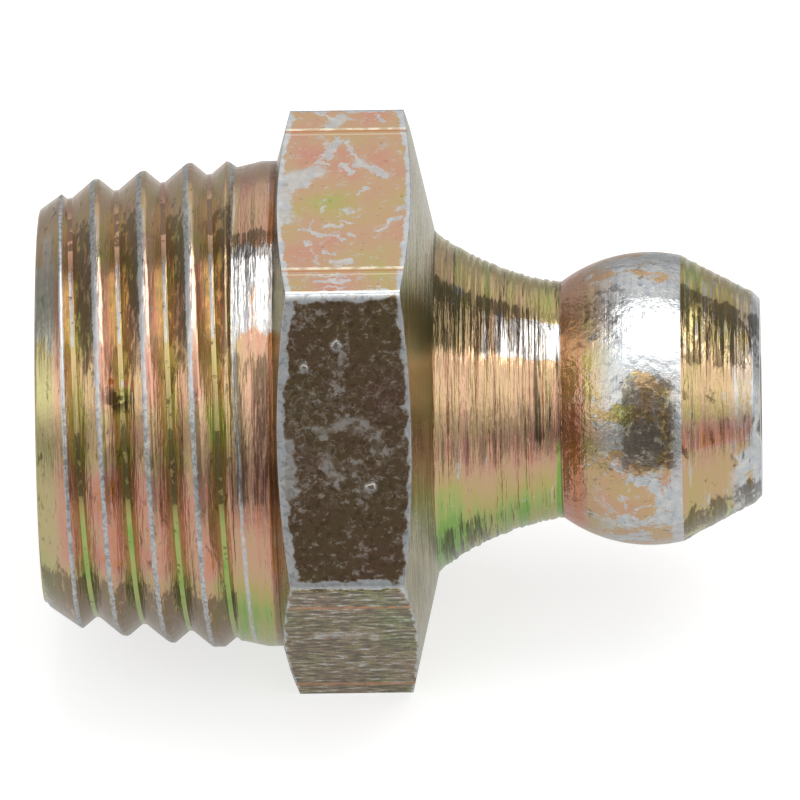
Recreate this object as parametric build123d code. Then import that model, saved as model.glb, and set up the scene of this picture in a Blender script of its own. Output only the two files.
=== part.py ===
from build123d import *
from math import atan2, ceil, cos, degrees, radians, sin, sqrt, tan
import os

# Straight grease nipple with a tapered M10 x 1 thread and an 11 mm hexagon.
# Millimetres. The nipple lies on a flat of its hexagon, as it rests on a bench: +X runs along its axis
# from the thread to the head, and +Z is up. The origin is on the axis, where the shank meets the hexagon.

# Threaded shank, from the hexagon towards -X
shank_r = 5.20
shank_length = 5.10
thread_pitch = 1.0
thread_taper = 9.0            # half-angle of the thread's cone
thread_flank_angle = 50.0     # from the radial direction
thread_root_width = 0.10
thread_crest_width = 0.15
thread_root_x = -3.48         # a root crosses the direction below here
thread_root_angle = 50.0      # about +X, from +Y
taper_start = 1.75            # the cone starts this far from the hexagon
runout_start = 0.98           # the groove starts to fade this far from the hexagon
runout_angle = 40.0
groove_overrun = 0.02         # the groove's flanks are cut on this far above the crests
lead_in_angle = 35.0
lead_in_depth = 0.45          # end face below the thread's crests
relief_depth = 0.12           # shallow turned relief beside the last thread
relief_floor_width = 0.04
relief_centre = 0.86          # from the hexagon
relief_rear_angle = 35.0      # its two flanks, from the axis
relief_front_angle = 13.0

# Hexagon
across_flats = 11.0
hex_edge_r = 0.22             # rounded long edges of the drawn bar
hex_length = 3.35
rear_bevel_angle = 15.5       # the hexagon's two turned faces, from a square face
front_bevel_angle = 13.0
hex_front_r = 3.66            # where the front bevel meets the neck

# Neck and head
neck_length = 2.70
neck_flare_r = 5.88           # radius of the hollow flare
neck_r = 2.53                 # narrowest, where the neck meets the head
head_r = 3.14
nose_start = 0.71             # the nose cone starts this far past the head's centre
nose_length = 1.67
nose_half_angle = 27.5
tip_edge_r = 0.08

# Check ball and its seat
ball_r = 1.25
ball_side_clearance = 0.25
ball_seat_gap = 0.02
seat_half_angle = 35.0
seat_land = 0.09              # the inlet hole is this much smaller than the seat's contact circle
inlet_length = 0.50

# Check spring and the rolled-in lip that holds it
wire_r = 0.15
spring_side_clearance = 0.15
spring_turns = 9
spring_ball_gap = 0.03
spring_lip_gap = 0.02
lip_thickness = 0.40
lip_overlap = 0.15            # the lip reaches this far inside the spring's mean radius

# Places along the axis, and radii, that follow from the sizes above
thread_depth = (thread_pitch - thread_root_width - thread_crest_width) / 2 / tan(radians(thread_flank_angle))
thread_end_x = -shank_length
neck_end_x = hex_length + neck_length
head_x = neck_end_x + sqrt(head_r**2 - neck_r**2)
nose_x = head_x + nose_start
nose_r = sqrt(head_r**2 - nose_start**2)
tip_x = nose_x + nose_length
tip_r = nose_r - nose_length * tan(radians(nose_half_angle))

bore_r = ball_r + ball_side_clearance
inlet_r = (ball_r + ball_seat_gap) * cos(radians(seat_half_angle)) - seat_land
inlet_x = tip_x - inlet_length
seat_x = inlet_x - (bore_r - inlet_r) / tan(radians(seat_half_angle))
seat_apex_x = inlet_x + inlet_r / tan(radians(seat_half_angle))
ball_x = seat_apex_x - (ball_r + ball_seat_gap) / sin(radians(seat_half_angle))

spring_r = bore_r - spring_side_clearance - wire_r
spring_front_x = ball_x - sqrt((ball_r + wire_r + spring_ball_gap) ** 2 - spring_r**2)
spring_rear_x = thread_end_x + lip_thickness + spring_lip_gap + wire_r
lip_r = spring_r - lip_overlap


def crest_r(x):
    """Radius of the thread's crests at x: a cylinder near the hexagon, then a cone towards the end."""
    return shank_r - max(0.0, -taper_start - x) * tan(radians(thread_taper))


def root_r(x):
    """Radius of the thread's roots at x, on a cone that runs on past both ends of the thread."""
    return shank_r - thread_depth - (-taper_start - x) * tan(radians(thread_taper))


def revolved(*outline):
    """Solid turned about the axis from the points and edges of a half outline that starts and ends on it."""
    edges = []
    here = Vector(*outline[0])
    for item in outline[1:]:
        if isinstance(item, Edge):
            edges.append(item)
            here = item @ 1
        else:
            edges.append(Line(here, item))
            here = Vector(*item)
    edges.append(Line(here, outline[0]))
    return revolve(make_face(edges), Axis.X)


def shank_blank():
    """Cylinder and cone under the thread, with a lead-in chamfer and the relief beside the hexagon."""
    end_r = crest_r(thread_end_x) - lead_in_depth
    # the chamfer rises faster than the cone and meets it here
    lead_in_x = thread_end_x + lead_in_depth / (tan(radians(lead_in_angle)) - tan(radians(thread_taper)))
    floor_half = relief_floor_width / 2
    rear_flank = relief_depth / tan(radians(relief_rear_angle))
    front_flank = relief_depth / tan(radians(relief_front_angle))
    return revolved(
        (thread_end_x, 0),
        (thread_end_x, end_r),
        (lead_in_x, crest_r(lead_in_x)),
        (-taper_start, shank_r),
        (-relief_centre - floor_half - rear_flank, shank_r),
        (-relief_centre - floor_half, shank_r - relief_depth),
        (-relief_centre + floor_half, shank_r - relief_depth),
        (-relief_centre + floor_half + front_flank, shank_r),
        (hex_length / 2, shank_r),
        (hex_length / 2, 0),
    )


def groove_turn(start_x):
    """One turn of the right-hand V groove, from start_x towards the hexagon, as a solid to cut away."""
    path = Helix(
        thread_pitch,
        thread_pitch,
        root_r(start_x),
        center=(start_x, 0, 0),
        direction=(1, 0, 0),
        cone_angle=thread_taper,
    )
    start = path @ 0
    root_half = thread_root_width / 2
    mouth = thread_depth + groove_overrun
    mouth_half = root_half + mouth * tan(radians(thread_flank_angle))
    top = mouth + thread_depth
    section = Polyline(
        (0, -root_half),
        (mouth, -mouth_half),
        (top, -mouth_half),
        (top, mouth_half),
        (mouth, mouth_half),
        (0, root_half),
        close=True,
    )
    section_plane = Plane(start, x_dir=(0, start.Y, start.Z), z_dir=path % 0)
    turn = sweep(section_plane * make_face(section), path, is_frenet=True)
    start_angle = degrees(atan2(start.Z, start.Y))
    return Rot(X=thread_root_angle - start_angle) * turn


def runout_metal():
    """Metal that the thread tool leaves beside the hexagon, as it lifts out of the groove on a steeper cone."""
    start_x = -runout_start - thread_pitch
    end_x = hex_length

    def lift_r(x):
        return root_r(-runout_start) + (x + runout_start) * tan(radians(runout_angle))

    return revolved((start_x, 0), (start_x, lift_r(start_x)), (end_x, lift_r(end_x)), (end_x, 0))


def threaded_shank():
    """Shank with the groove cut turn by turn, from the end face to the runout."""
    shank = shank_blank()
    kept = runout_metal()
    turns_before_root = ceil((thread_root_x - thread_end_x) / thread_pitch)
    start_x = thread_root_x - turns_before_root * thread_pitch
    while start_x < 0:
        shank -= groove_turn(start_x) - kept
        start_x += thread_pitch
    return shank


def hexagon():
    """Hexagonal bar with rounded edges, turned to a shallow bevel on both ends, with flats at +Z and -Z."""
    bar_plane = Plane.YZ
    bar = extrude(bar_plane * RegularPolygon(across_flats / 2, 6, major_radius=False), hex_length)
    bar = fillet(bar.edges().filter_by(Axis.X), hex_edge_r)
    outer_r = across_flats
    turned = revolved(
        (0, 0),
        (0, shank_r),
        ((outer_r - shank_r) * tan(radians(rear_bevel_angle)), outer_r),
        (hex_length - (outer_r - hex_front_r) * tan(radians(front_bevel_angle)), outer_r),
        (hex_length, hex_front_r),
        (hex_length, 0),
    )
    return bar & turned


def neck_and_head():
    """Hollow-flared neck, ball head, conical nose and flat tip."""
    # the negative radius bends the neck's outline inwards, and the head's bulges outwards
    neck = RadiusArc((hex_length, hex_front_r), (neck_end_x, neck_r), -neck_flare_r)
    head = RadiusArc((neck_end_x, neck_r), (nose_x, nose_r), head_r)
    turned = revolved(
        (hex_length / 2, 0),
        (hex_length / 2, hex_front_r),
        (hex_length, hex_front_r),
        neck,
        head,
        (tip_x, tip_r),
        (tip_x, 0),
    )
    tip_rim = turned.edges().filter_by(GeomType.CIRCLE).sort_by(Axis.X)[-1]
    return fillet(tip_rim, tip_edge_r)


def passage():
    """Space inside the body: the lip's hole, the main bore, the conical seat and the inlet hole."""
    past = lip_thickness
    return revolved(
        (thread_end_x - past, 0),
        (thread_end_x - past, lip_r),
        (thread_end_x + lip_thickness, lip_r),
        (thread_end_x + lip_thickness, bore_r),
        (seat_x, bore_r),
        (inlet_x, inlet_r),
        (tip_x + past, inlet_r),
        (tip_x + past, 0),
    )


def nipple_body():
    return threaded_shank() + hexagon() + neck_and_head() - passage()


def check_ball():
    return Pos(ball_x, 0, 0) * Sphere(ball_r)


def check_spring():
    """Round wire coiled from the lip to the back of the ball."""
    length = spring_front_x - spring_rear_x
    path = Helix(length / spring_turns, length, spring_r, center=(spring_rear_x, 0, 0), direction=(1, 0, 0))
    return sweep(Plane(path @ 0, z_dir=path % 0) * Circle(wire_r), path, is_frenet=True)


os.makedirs("parts", exist_ok=True)
export_step(nipple_body(), "parts/nipple_body.step")
export_step(check_ball(), "parts/check_ball.step")
export_step(check_spring(), "parts/check_spring.step")
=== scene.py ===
# %% [markdown]
# # A straight grease nipple
# The object is a small turned fitting of yellow-chromated steel: a tapered thread, a hexagon, a
# hollow-flared neck and a ball head, with a check ball and its spring inside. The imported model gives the
# frame: every piece is made in metres, where the frame says, and rides on one of its bodies.

# %% Load the frame
import math

import bpy
import numpy as np
from mathutils import Matrix, Vector, noise


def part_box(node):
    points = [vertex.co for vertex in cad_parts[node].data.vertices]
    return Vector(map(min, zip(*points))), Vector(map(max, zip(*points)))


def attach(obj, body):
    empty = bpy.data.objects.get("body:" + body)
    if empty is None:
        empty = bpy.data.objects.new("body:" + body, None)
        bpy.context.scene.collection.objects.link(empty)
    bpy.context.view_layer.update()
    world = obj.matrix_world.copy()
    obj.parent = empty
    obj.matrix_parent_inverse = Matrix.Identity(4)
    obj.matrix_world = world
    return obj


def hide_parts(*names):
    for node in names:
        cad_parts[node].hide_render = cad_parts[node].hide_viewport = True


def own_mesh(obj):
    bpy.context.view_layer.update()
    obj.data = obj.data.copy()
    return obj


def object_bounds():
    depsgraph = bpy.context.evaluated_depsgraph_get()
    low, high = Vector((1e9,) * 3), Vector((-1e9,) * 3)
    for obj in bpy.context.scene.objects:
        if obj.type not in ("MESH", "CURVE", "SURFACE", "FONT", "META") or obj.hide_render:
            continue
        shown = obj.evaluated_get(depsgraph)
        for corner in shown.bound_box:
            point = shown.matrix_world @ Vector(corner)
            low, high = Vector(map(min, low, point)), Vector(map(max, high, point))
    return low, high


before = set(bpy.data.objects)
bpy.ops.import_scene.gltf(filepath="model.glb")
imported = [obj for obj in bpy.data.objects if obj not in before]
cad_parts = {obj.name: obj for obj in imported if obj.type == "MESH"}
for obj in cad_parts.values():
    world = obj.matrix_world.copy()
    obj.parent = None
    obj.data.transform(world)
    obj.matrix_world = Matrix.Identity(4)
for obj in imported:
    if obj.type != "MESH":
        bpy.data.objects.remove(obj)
cad_low, cad_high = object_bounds()
MM = 0.001

# %% [markdown]
# ## The sizes that the pieces share
# The nipple's axis is X, with the origin where the shank meets the hexagon. The ends and the width across
# the flats are read from the frame's box, so the look can't drift from the construction. The other sizes are
# the turner's own: radii and lengths in millimetres.

# %% Sizes of the turned body
body_low, body_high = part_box("nipple_body")
thread_end_x = body_low.x / MM
tip_x = body_high.x / MM
flat_r = body_high.z / MM

shank_r = 5.20
thread_pitch = 1.0
thread_taper = math.tan(math.radians(9.0))
flank_slope = math.tan(math.radians(50.0))
root_width = 0.10
crest_width = 0.15
thread_depth = (thread_pitch - root_width - crest_width) / 2 / flank_slope
thread_root_x = -3.48
thread_root_angle = math.radians(50.0)
taper_start_x = -1.75
runout_x = -0.98
runout_slope = math.tan(math.radians(40.0))
lead_in_slope = math.tan(math.radians(35.0))
lead_in_depth = 0.45
relief_x = -0.86
relief_half = 0.02
relief_depth = 0.12
relief_rear_slope = math.tan(math.radians(35.0))
relief_front_slope = math.tan(math.radians(13.0))

hex_length = 3.35
hex_edge_r = 0.22
hex_front_r = 3.66
rear_bevel = math.tan(math.radians(15.5))
front_bevel = math.tan(math.radians(13.0))

neck_end_x = 6.05
neck_r = 2.53
neck_flare_r = 5.88
head_r = 3.14
head_x = neck_end_x + math.sqrt(head_r**2 - neck_r**2)
nose_start = 0.71
nose_slope = math.tan(math.radians(27.5))
nose_x = head_x + nose_start
nose_r = math.sqrt(head_r**2 - nose_start**2)
tip_r = nose_r - (tip_x - nose_x) * nose_slope
tip_edge_r = 0.08

bore_r = 1.50
inlet_r = 0.95
inlet_x = tip_x - 0.50
seat_x = inlet_x - (bore_r - inlet_r) / math.tan(math.radians(35.0))
lip_r = 1.05
lip_x = thread_end_x + 0.40


def root_radius(x):
    """Radius of the thread's roots, on the thread's cone."""
    return shank_r - thread_depth - (taper_start_x - x) * thread_taper


print("thread end %.2f, tip %.2f, head centre %.2f mm" % (thread_end_x, tip_x, head_x))

# %% [markdown]
# ## Camera
# The camera looks down on the bench from well above, through a very long lens and nearly square to the
# part's axis, so that the hexagon shows two faces and its far corners hardly shrink. It looks at the middle
# of the part, and rolls by two degrees about its own line of sight, because it isn't quite square to the
# part.

# %% Place the camera
camera_distance = 500.0
camera_elevation = math.radians(38.7)
camera_azimuth = math.radians(1.98)
camera_roll = math.radians(2.0)
view_width = 17.14
view_centre_x = 2.556
view_raise = 0.035
sensor_width = 36.0

toward_camera = Vector(
    (
        math.sin(camera_azimuth) * math.cos(camera_elevation),
        -math.cos(camera_azimuth) * math.cos(camera_elevation),
        math.sin(camera_elevation),
    )
)
level_right = Vector((0, 0, 1)).cross(toward_camera).normalized()
level_up = toward_camera.cross(level_right)
picture_right = level_right * math.cos(camera_roll) - level_up * math.sin(camera_roll)
picture_up = level_up * math.cos(camera_roll) + level_right * math.sin(camera_roll)
camera_target = Vector((view_centre_x, 0, 0)) + view_raise * picture_up
camera_place = (camera_target + camera_distance * toward_camera) * MM

camera_data = bpy.data.cameras.new("camera")
camera_data.sensor_width = sensor_width
camera_data.lens = sensor_width * camera_distance / view_width
camera_data.clip_start = 0.001
camera_data.clip_end = 10.0
camera = bpy.data.objects.new("camera", camera_data)
bpy.context.scene.collection.objects.link(camera)
camera.matrix_world = Matrix(
    (
        (picture_right.x, picture_up.x, toward_camera.x, camera_place.x),
        (picture_right.y, picture_up.y, toward_camera.y, camera_place.y),
        (picture_right.z, picture_up.z, toward_camera.z, camera_place.z),
        (0, 0, 0, 1),
    )
)
bpy.context.scene.camera = camera
print("lens %.0f mm" % camera_data.lens)

# %% [markdown]
# ## Helpers for node trees
# Every finish and every Geometry Nodes tree below is built from short helpers. One adds a node and fills its
# inputs, with a value or with another node's output, and the others are arithmetic on what comes out of it.
# In Blender's editor each of them would be a node or two, wired by hand.

# %% Helpers for numbers


def add(tree, kind, inputs=None, output=0, **settings):
    """Adds a node, sets its properties, fills or links its inputs and returns one output socket."""
    made = tree.nodes.new(kind)
    for name, value in settings.items():
        setattr(made, name, value)
    for name, value in (inputs or {}).items():
        if isinstance(value, bpy.types.NodeSocket):
            tree.links.new(value, made.inputs[name])
        else:
            made.inputs[name].default_value = value
    return made.outputs[output] if made.outputs else made


def calc(tree, operation, a, b=0.0, c=0.0, clamp=False):
    """One Math node on numbers or sockets."""
    return add(tree, "ShaderNodeMath", {0: a, 1: b, 2: c}, operation=operation, use_clamp=clamp)


def folded(operation):
    """A helper that takes any number of values and combines them, two at a time, by one operation."""

    def combine(tree, *values):
        result = values[0]
        for value in values[1:]:
            result = calc(tree, operation, result, value)
        return result

    return combine


product = folded("MULTIPLY")
total = folded("ADD")
less = folded("SUBTRACT")
most = folded("MAXIMUM")
least = folded("MINIMUM")


def scaled(tree, value, by, plus):
    """A value times one number, plus another."""
    return calc(tree, "MULTIPLY_ADD", value, by, plus)


def inverse(tree, mask):
    """A mask turned round: 1 where it was 0."""
    return less(tree, 1.0, mask)


def gap(tree, a, b):
    """How far two numbers are apart."""
    return calc(tree, "ABSOLUTE", less(tree, a, b))


def ramp(tree, value, low, high, to_low=0.0, to_high=1.0):
    """Smooth step of a value between two limits."""
    names = {"Value": value, "From Min": low, "From Max": high, "To Min": to_low, "To Max": to_high}
    return add(tree, "ShaderNodeMapRange", names, interpolation_type="SMOOTHSTEP")


print("number helpers ready")

# %% Helpers for vectors and colours


def vector(tree, **parts):
    """Vector from its x, y and z, of which each is 0 unless it is given."""
    return add(tree, "ShaderNodeCombineXYZ", {name.upper(): value for name, value in parts.items()})


def parts_of(tree, place):
    """The x, y and z of a vector."""
    return add(tree, "ShaderNodeSeparateXYZ", {0: place}, output=slice(0, 3))


def carried(tree, name, output=2):
    """What the mesh keeps for each point under a name: output 2 is a number, and output 1 is a vector."""
    return add(tree, "ShaderNodeAttribute", output=output, attribute_name=name)


def vector_calc(tree, operation, a, b=(0.0, 0.0, 0.0), output=0):
    """One Vector Math node. Its output 1 is the number that a length, a distance or a dot product gives."""
    return add(tree, "ShaderNodeVectorMath", {0: a, 1: b}, output=output, operation=operation)


def times_vector(tree, place, by):
    """A vector made longer or shorter."""
    return add(tree, "ShaderNodeVectorMath", {0: place, "Scale": by}, operation="SCALE")


def mix_colour(tree, share, first, second):
    """Mixes two colours, each a socket or three numbers, by a share from 0 to 1."""
    colours = {6: first, 7: second}
    for place, colour in colours.items():
        if not isinstance(colour, bpy.types.NodeSocket):
            colours[place] = (*colour, 1.0)
    return add(tree, "ShaderNodeMix", {0: share, **colours}, output=2, data_type="RGBA")


print("vector and colour helpers ready")

# %% [markdown]
# ## The outline of the turned body
# The body is turned from hexagonal bar, so a cross-section grid suits it: rings of points run round the
# axis, and each ring is one step along the outline. On the hexagon a ring's radius follows the bar's six
# flats, and on the two bevels the rings slide from the round neck out to the hexagon's rim, so the scalloped
# edges of the bevels lie exactly on rings. The grid closes on itself through the bore, which leaves no open
# seam.

# %% Angles of the grid
base_columns = 144
corner_columns = (-1.15, -0.85, -0.55, -0.27, 0.27, 0.55, 0.85, 1.15)
angles = np.radians(np.arange(base_columns) * 360.0 / base_columns)
extra = [60.0 * corner + step for corner in range(6) for step in corner_columns]
angles = np.sort(np.concatenate([angles, np.radians(np.array(extra) % 360.0)]))


def hexagon_radius(angle):
    """Distance from the axis to the rounded bar, and how far round the flat that point is from its middle."""
    from_corner = (angle + math.pi / 6) % (math.pi / 3) - math.pi / 6
    across = flat_r * np.tan(np.pi / 6 - np.abs(from_corner))
    flat = flat_r / np.cos(np.pi / 6 - np.abs(from_corner))
    centre = (flat_r - hex_edge_r) / math.cos(math.pi / 6)
    round_corner = centre * np.cos(from_corner) + np.sqrt(
        np.maximum(hex_edge_r**2 - (centre * np.sin(from_corner)) ** 2, 0.0)
    )
    tangent = math.atan2(hex_edge_r / 2, centre + hex_edge_r * math.cos(math.pi / 6))
    return np.where(np.abs(from_corner) < tangent, round_corner, flat), across


hex_r, hex_across = hexagon_radius(angles)
print("grid columns", len(angles), "corner radius %.2f mm" % hex_r.max())

# %% Helpers for the rings
rings = []
ring_zones = []
ring_rims = []
no_rim_near = 9.0
marks_per_mm = 17.0
mark_unevenness = 0.9
mark_level = (0.5, 1.4)
unmarked_rings = 6
crowding = 0.85


def rings_along(zone, xs, radii, rim=no_rim_near):
    """Adds rings at these places, each a number or one value for each column, as one zone of the body."""
    for index, (x, radius) in enumerate(zip(xs, radii)):
        if index == 0 and rings:
            continue  # a zone starts on the last ring of the zone before it
        rings.append((x * np.ones(len(angles)), radius * np.ones(len(angles))))
        ring_zones.append(zone)
        ring_rims.append((rim[index] if isinstance(rim, list) else rim) * np.ones(len(angles)))


def straight_cuts(start, *cuts):
    """Rings on straight stretches of the outline from one point on: (zone, x, radius, rings) for each cut."""
    for zone, x, radius, count in cuts:
        steps = np.linspace(0, 1, count)
        rings_along(zone, start[0] + steps * (x - start[0]), start[1] + steps * (radius - start[1]))
        start = (x, radius)


def tool_marked(xs, radii, depth):
    """Rings cut up to a depth into the surface by a blunt turning tool, unevenly round the axis."""
    marked = []
    level, swing = mark_level
    round_x = [(mark_unevenness * math.cos(angle), mark_unevenness * math.sin(angle)) for angle in angles]
    for index, (x, radius) in enumerate(zip(xs, radii)):
        fade = min(1.0, index / unmarked_rings, (len(xs) - 1 - index) / unmarked_rings)
        cuts = np.array([noise.noise(Vector((x * marks_per_mm, y, z))) for y, z in round_x])
        marked.append(radius - depth * fade * np.clip(level + swing * cuts, 0.0, 1.0))
    return marked


def eased(count):
    """Steps from 0 to 1 that crowd towards both ends, so that an edge stays crisp under smooth shading."""
    steps = np.linspace(0, 1, count)
    return steps - np.sin(2 * np.pi * steps) / (2 * np.pi) * crowding


print("tool marks %.2f mm apart" % (1 / marks_per_mm))

# %% [markdown]
# ## The shank's rings
# Under the thread the shank is a plain cone at the depth of the roots, and the thread's ridge is wound on it
# later. Beside the hexagon the tool has lifted out of its groove and left a shallow relief. The end face is
# the last facing cut, with its edge just broken.

# %% Rings of the shank
end_face_r = shank_r - (taper_start_x - thread_end_x) * thread_taper - lead_in_depth
edge_break = 0.03
core_sink = 0.02
core_start_x = thread_end_x + (root_radius(thread_end_x) - end_face_r) / (lead_in_slope - thread_taper)
core_start_x += 2 * core_sink
relief_floor_r = shank_r - relief_depth
relief_start_x = relief_x - relief_half - relief_depth / relief_rear_slope
relief_end_x = relief_x + relief_half + relief_depth / relief_front_slope
runout_rise = shank_r - root_radius(runout_x) + runout_x * runout_slope + relief_start_x * relief_rear_slope
runout_end_x = runout_rise / (runout_slope + relief_rear_slope)
runout_end_r = root_radius(runout_x) + (runout_end_x - runout_x) * runout_slope

straight_cuts(
    (thread_end_x, lip_r),
    ("end_face", thread_end_x, end_face_r - edge_break, 12),
    ("end_face", thread_end_x + edge_break, end_face_r - core_sink, 3),
    ("thread", core_start_x, root_radius(core_start_x), 6),
    ("thread", runout_x, root_radius(runout_x), 40),
    ("thread", runout_end_x, runout_end_r, 10),
    ("shank", relief_x - relief_half, relief_floor_r, 3),
    ("shank", relief_x + relief_half, relief_floor_r, 5),
    ("shank", relief_end_x, shank_r, 8),
    ("shank", 0, shank_r, 20),
)
print("rings up to the hexagon", len(rings))

# %% Rings of the hexagon
touching = 0.001
rear_r = [shank_r + step * (hex_r - shank_r) for step in eased(16)]
rings_along("bevel", [(r - shank_r) * rear_bevel for r in rear_r], rear_r, [hex_r - r for r in rear_r])
rear_edge_x = (hex_r - shank_r) * rear_bevel
front_edge_x = hex_length - (hex_r - hex_front_r) * front_bevel
face_x = [rear_edge_x + step * (front_edge_x - rear_edge_x) for step in eased(44)]
beside_corner = np.maximum(flat_r / math.sqrt(3) - hex_across, touching)
face_rim = []
for x in face_x:
    beside_bevel = np.maximum(np.minimum(x - rear_edge_x, front_edge_x - x), touching)
    face_rim.append(1 / np.sqrt(1 / beside_bevel**2 + 1 / beside_corner**2))
rings_along("hexagon", face_x, [hex_r] * len(face_x), face_rim)
front_r = [hex_r + step * (hex_front_r - hex_r) for step in eased(30)]
front_x = [hex_length - (r - hex_front_r) * front_bevel for r in front_r]
rings_along("bevel", front_x, front_r, [hex_r - r for r in front_r])
print("rings up to the neck", len(rings))

# %% [markdown]
# ## The neck's, the head's and the passage's rings
# The neck flares in a hollow arc, the head is a ball, and the nose is a cone with a broken edge at its flat
# tip. Neck and nose carry the marks of a blunt tool, a few hundredths of a millimetre deep, which the rings
# are close enough to follow. From the tip the outline turns back through the inlet, the seat and the bore.

# %% Rings of the neck, the head and the nose
neck_mark_depth = 0.035
nose_mark_depth = 0.02
flare_mid = Vector(((hex_length + neck_end_x) / 2, (hex_front_r + neck_r) / 2))
flare_chord = Vector((neck_end_x - hex_length, neck_r - hex_front_r))
flare_out = Vector((-flare_chord.y, flare_chord.x)).normalized()
flare_centre = flare_mid + flare_out * math.sqrt(neck_flare_r**2 - (flare_chord.length / 2) ** 2)
flare_x = np.linspace(hex_length, neck_end_x, 116)
flare_r = flare_centre.y - np.sqrt(neck_flare_r**2 - (flare_x - flare_centre.x) ** 2)
rings_along("neck", flare_x, tool_marked(flare_x, flare_r, neck_mark_depth))
sweep = np.linspace(math.asin((neck_end_x - head_x) / head_r), math.asin(nose_start / head_r), 60)
rings_along("head", head_x + head_r * np.sin(sweep), head_r * np.cos(sweep))
nose_end_x = tip_x - 2 * tip_edge_r
cone_x = np.linspace(nose_x, nose_end_x, 56)
rings_along("nose", cone_x, tool_marked(cone_x, nose_r - (cone_x - nose_x) * nose_slope, nose_mark_depth))
print("rings up to the tip", len(rings))

# %% Rings of the tip and the passage
straight_cuts(
    (nose_end_x, tip_r + 2 * tip_edge_r * nose_slope),
    ("nose", tip_x, tip_r - tip_edge_r, 2),
    ("tip", tip_x, inlet_r, 12),
    ("passage", inlet_x, inlet_r, 5),
    ("passage", seat_x, bore_r, 6),
    ("passage", lip_x, bore_r, 12),
    ("passage", lip_x, lip_r, 4),
    ("passage", thread_end_x, lip_r, 5),
)
for kept in (rings, ring_zones, ring_rims):
    kept.pop()  # the last ring is the first one again
print("rings", len(rings))

# %% [markdown]
# ## The turned body as one mesh
# Four neighbouring points make one face. Each face takes the finish of its zone, and each point keeps how
# far it lies from the hexagon's nearest rim, which the finish uses to rub the edges bright, and its place on
# its flat. Flats are told apart by a third number, ten for each flat, so noise never repeats from one to the
# next.

# %% Faces and values of the grid
zone_finishes = ("end_face", "thread", "shank", "bevel", "hexagon", "neck", "head", "nose", "tip", "passage")
flat_step = 10


def grid_faces(ring_count, column_count):
    """Four corners of each face of a grid that closes on itself both ways."""
    ring = np.arange(ring_count)[:, None]
    column = np.arange(column_count)[None, :]
    next_ring = (ring + 1) % ring_count
    next_column = (column + 1) % column_count
    corners = ((ring, column), (next_ring, column), (next_ring, next_column), (ring, next_column))
    return np.stack([r * column_count + c for r, c in corners], axis=-1).reshape(-1, 4)


def keep_on_points(mesh, name, kind, field, values):
    """Stores a value for each point, which a material can read by its name."""
    mesh.attributes.new(name, kind, "POINT").data.foreach_set(field, values.ravel())


def place_on_flats(xs):
    """Each point's place on its flat: along the axis, up the flat, and the flat's own number."""
    flat = np.floor(angles / (math.pi / 3))
    up = -flat_r * np.tan(angles - (flat + 0.5) * math.pi / 3)
    return np.stack([xs, np.broadcast_to(up, xs.shape), np.broadcast_to(flat * flat_step, xs.shape)], -1)


print("zones", zone_finishes)

# %% Build the body mesh


def grid_mesh(name):
    """Turns the rings into a closed mesh, with a finish for each zone."""
    xs = np.array([ring[0] for ring in rings])
    radii = np.array([ring[1] for ring in rings])
    points = np.stack([xs, radii * np.cos(angles), radii * np.sin(angles)], axis=-1).reshape(-1, 3)
    mesh = bpy.data.meshes.new(name)
    mesh.from_pydata((points * MM).tolist(), [], grid_faces(len(rings), len(angles)).tolist())
    for zone in zone_finishes:
        mesh.materials.append(bpy.data.materials.new(name + "_" + zone))
    zone_of_ring = [zone_finishes.index(zone) for zone in ring_zones]
    zone_of_face = np.repeat(np.roll(zone_of_ring, -1), len(angles))
    zone_of_face[-len(angles) :] = zone_finishes.index("passage")
    mesh.polygons.foreach_set("material_index", zone_of_face.astype(np.int32))
    keep_on_points(mesh, "rim_mm", "FLOAT", "value", np.array(ring_rims))
    keep_on_points(mesh, "face_place", "FLOAT_VECTOR", "vector", place_on_flats(xs))
    mesh.shade_smooth()
    return mesh


def new_piece(mesh):
    """Object for a mesh, in the scene under the mesh's own name."""
    piece = bpy.data.objects.new(mesh.name, mesh)
    bpy.context.scene.collection.objects.link(piece)
    return piece


body_mesh = grid_mesh("nipple_body_turned")
body = new_piece(body_mesh)
print("body faces", len(body_mesh.polygons))

# %% [markdown]
# ## The thread
# A thread is one ridge wound along a cone, so its shape follows a rule and Geometry Nodes can make it. A
# Curve Spiral is the path. A line bent into the ridge's section is swept along it, and a Set Position node
# then trims the sweep to the lead-in, the cone and the relief, as a turner would. The ridge's foot is sunk
# in the body's core, and noise wears a hair off its crest here and there.

# %% Geometry Nodes helpers


def node_tree(name, sizes):
    """A Geometry Nodes tree with named number inputs: the tree, its input sockets and its output node."""
    tree = bpy.data.node_groups.new(name, "GeometryNodeTree")
    tree.interface.new_socket("Geometry", in_out="OUTPUT", socket_type="NodeSocketGeometry")
    for size in sizes:
        kind = "NodeSocketInt" if isinstance(sizes[size], int) else "NodeSocketFloat"
        tree.interface.new_socket(size, in_out="INPUT", socket_type=kind)
    entry = tree.nodes.new("NodeGroupInput")
    return tree, {size: entry.outputs[size] for size in sizes}, tree.nodes.new("NodeGroupOutput")


def swept(tree, path, section):
    """A section swept along a path, with closed ends and smooth shading."""
    shape = add(tree, "GeometryNodeCurveToMesh", {"Curve": path, "Profile Curve": section, "Fill Caps": True})
    return add(tree, "GeometryNodeSetShadeSmooth", {"Geometry": shape, "Shade Smooth": True})


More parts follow.
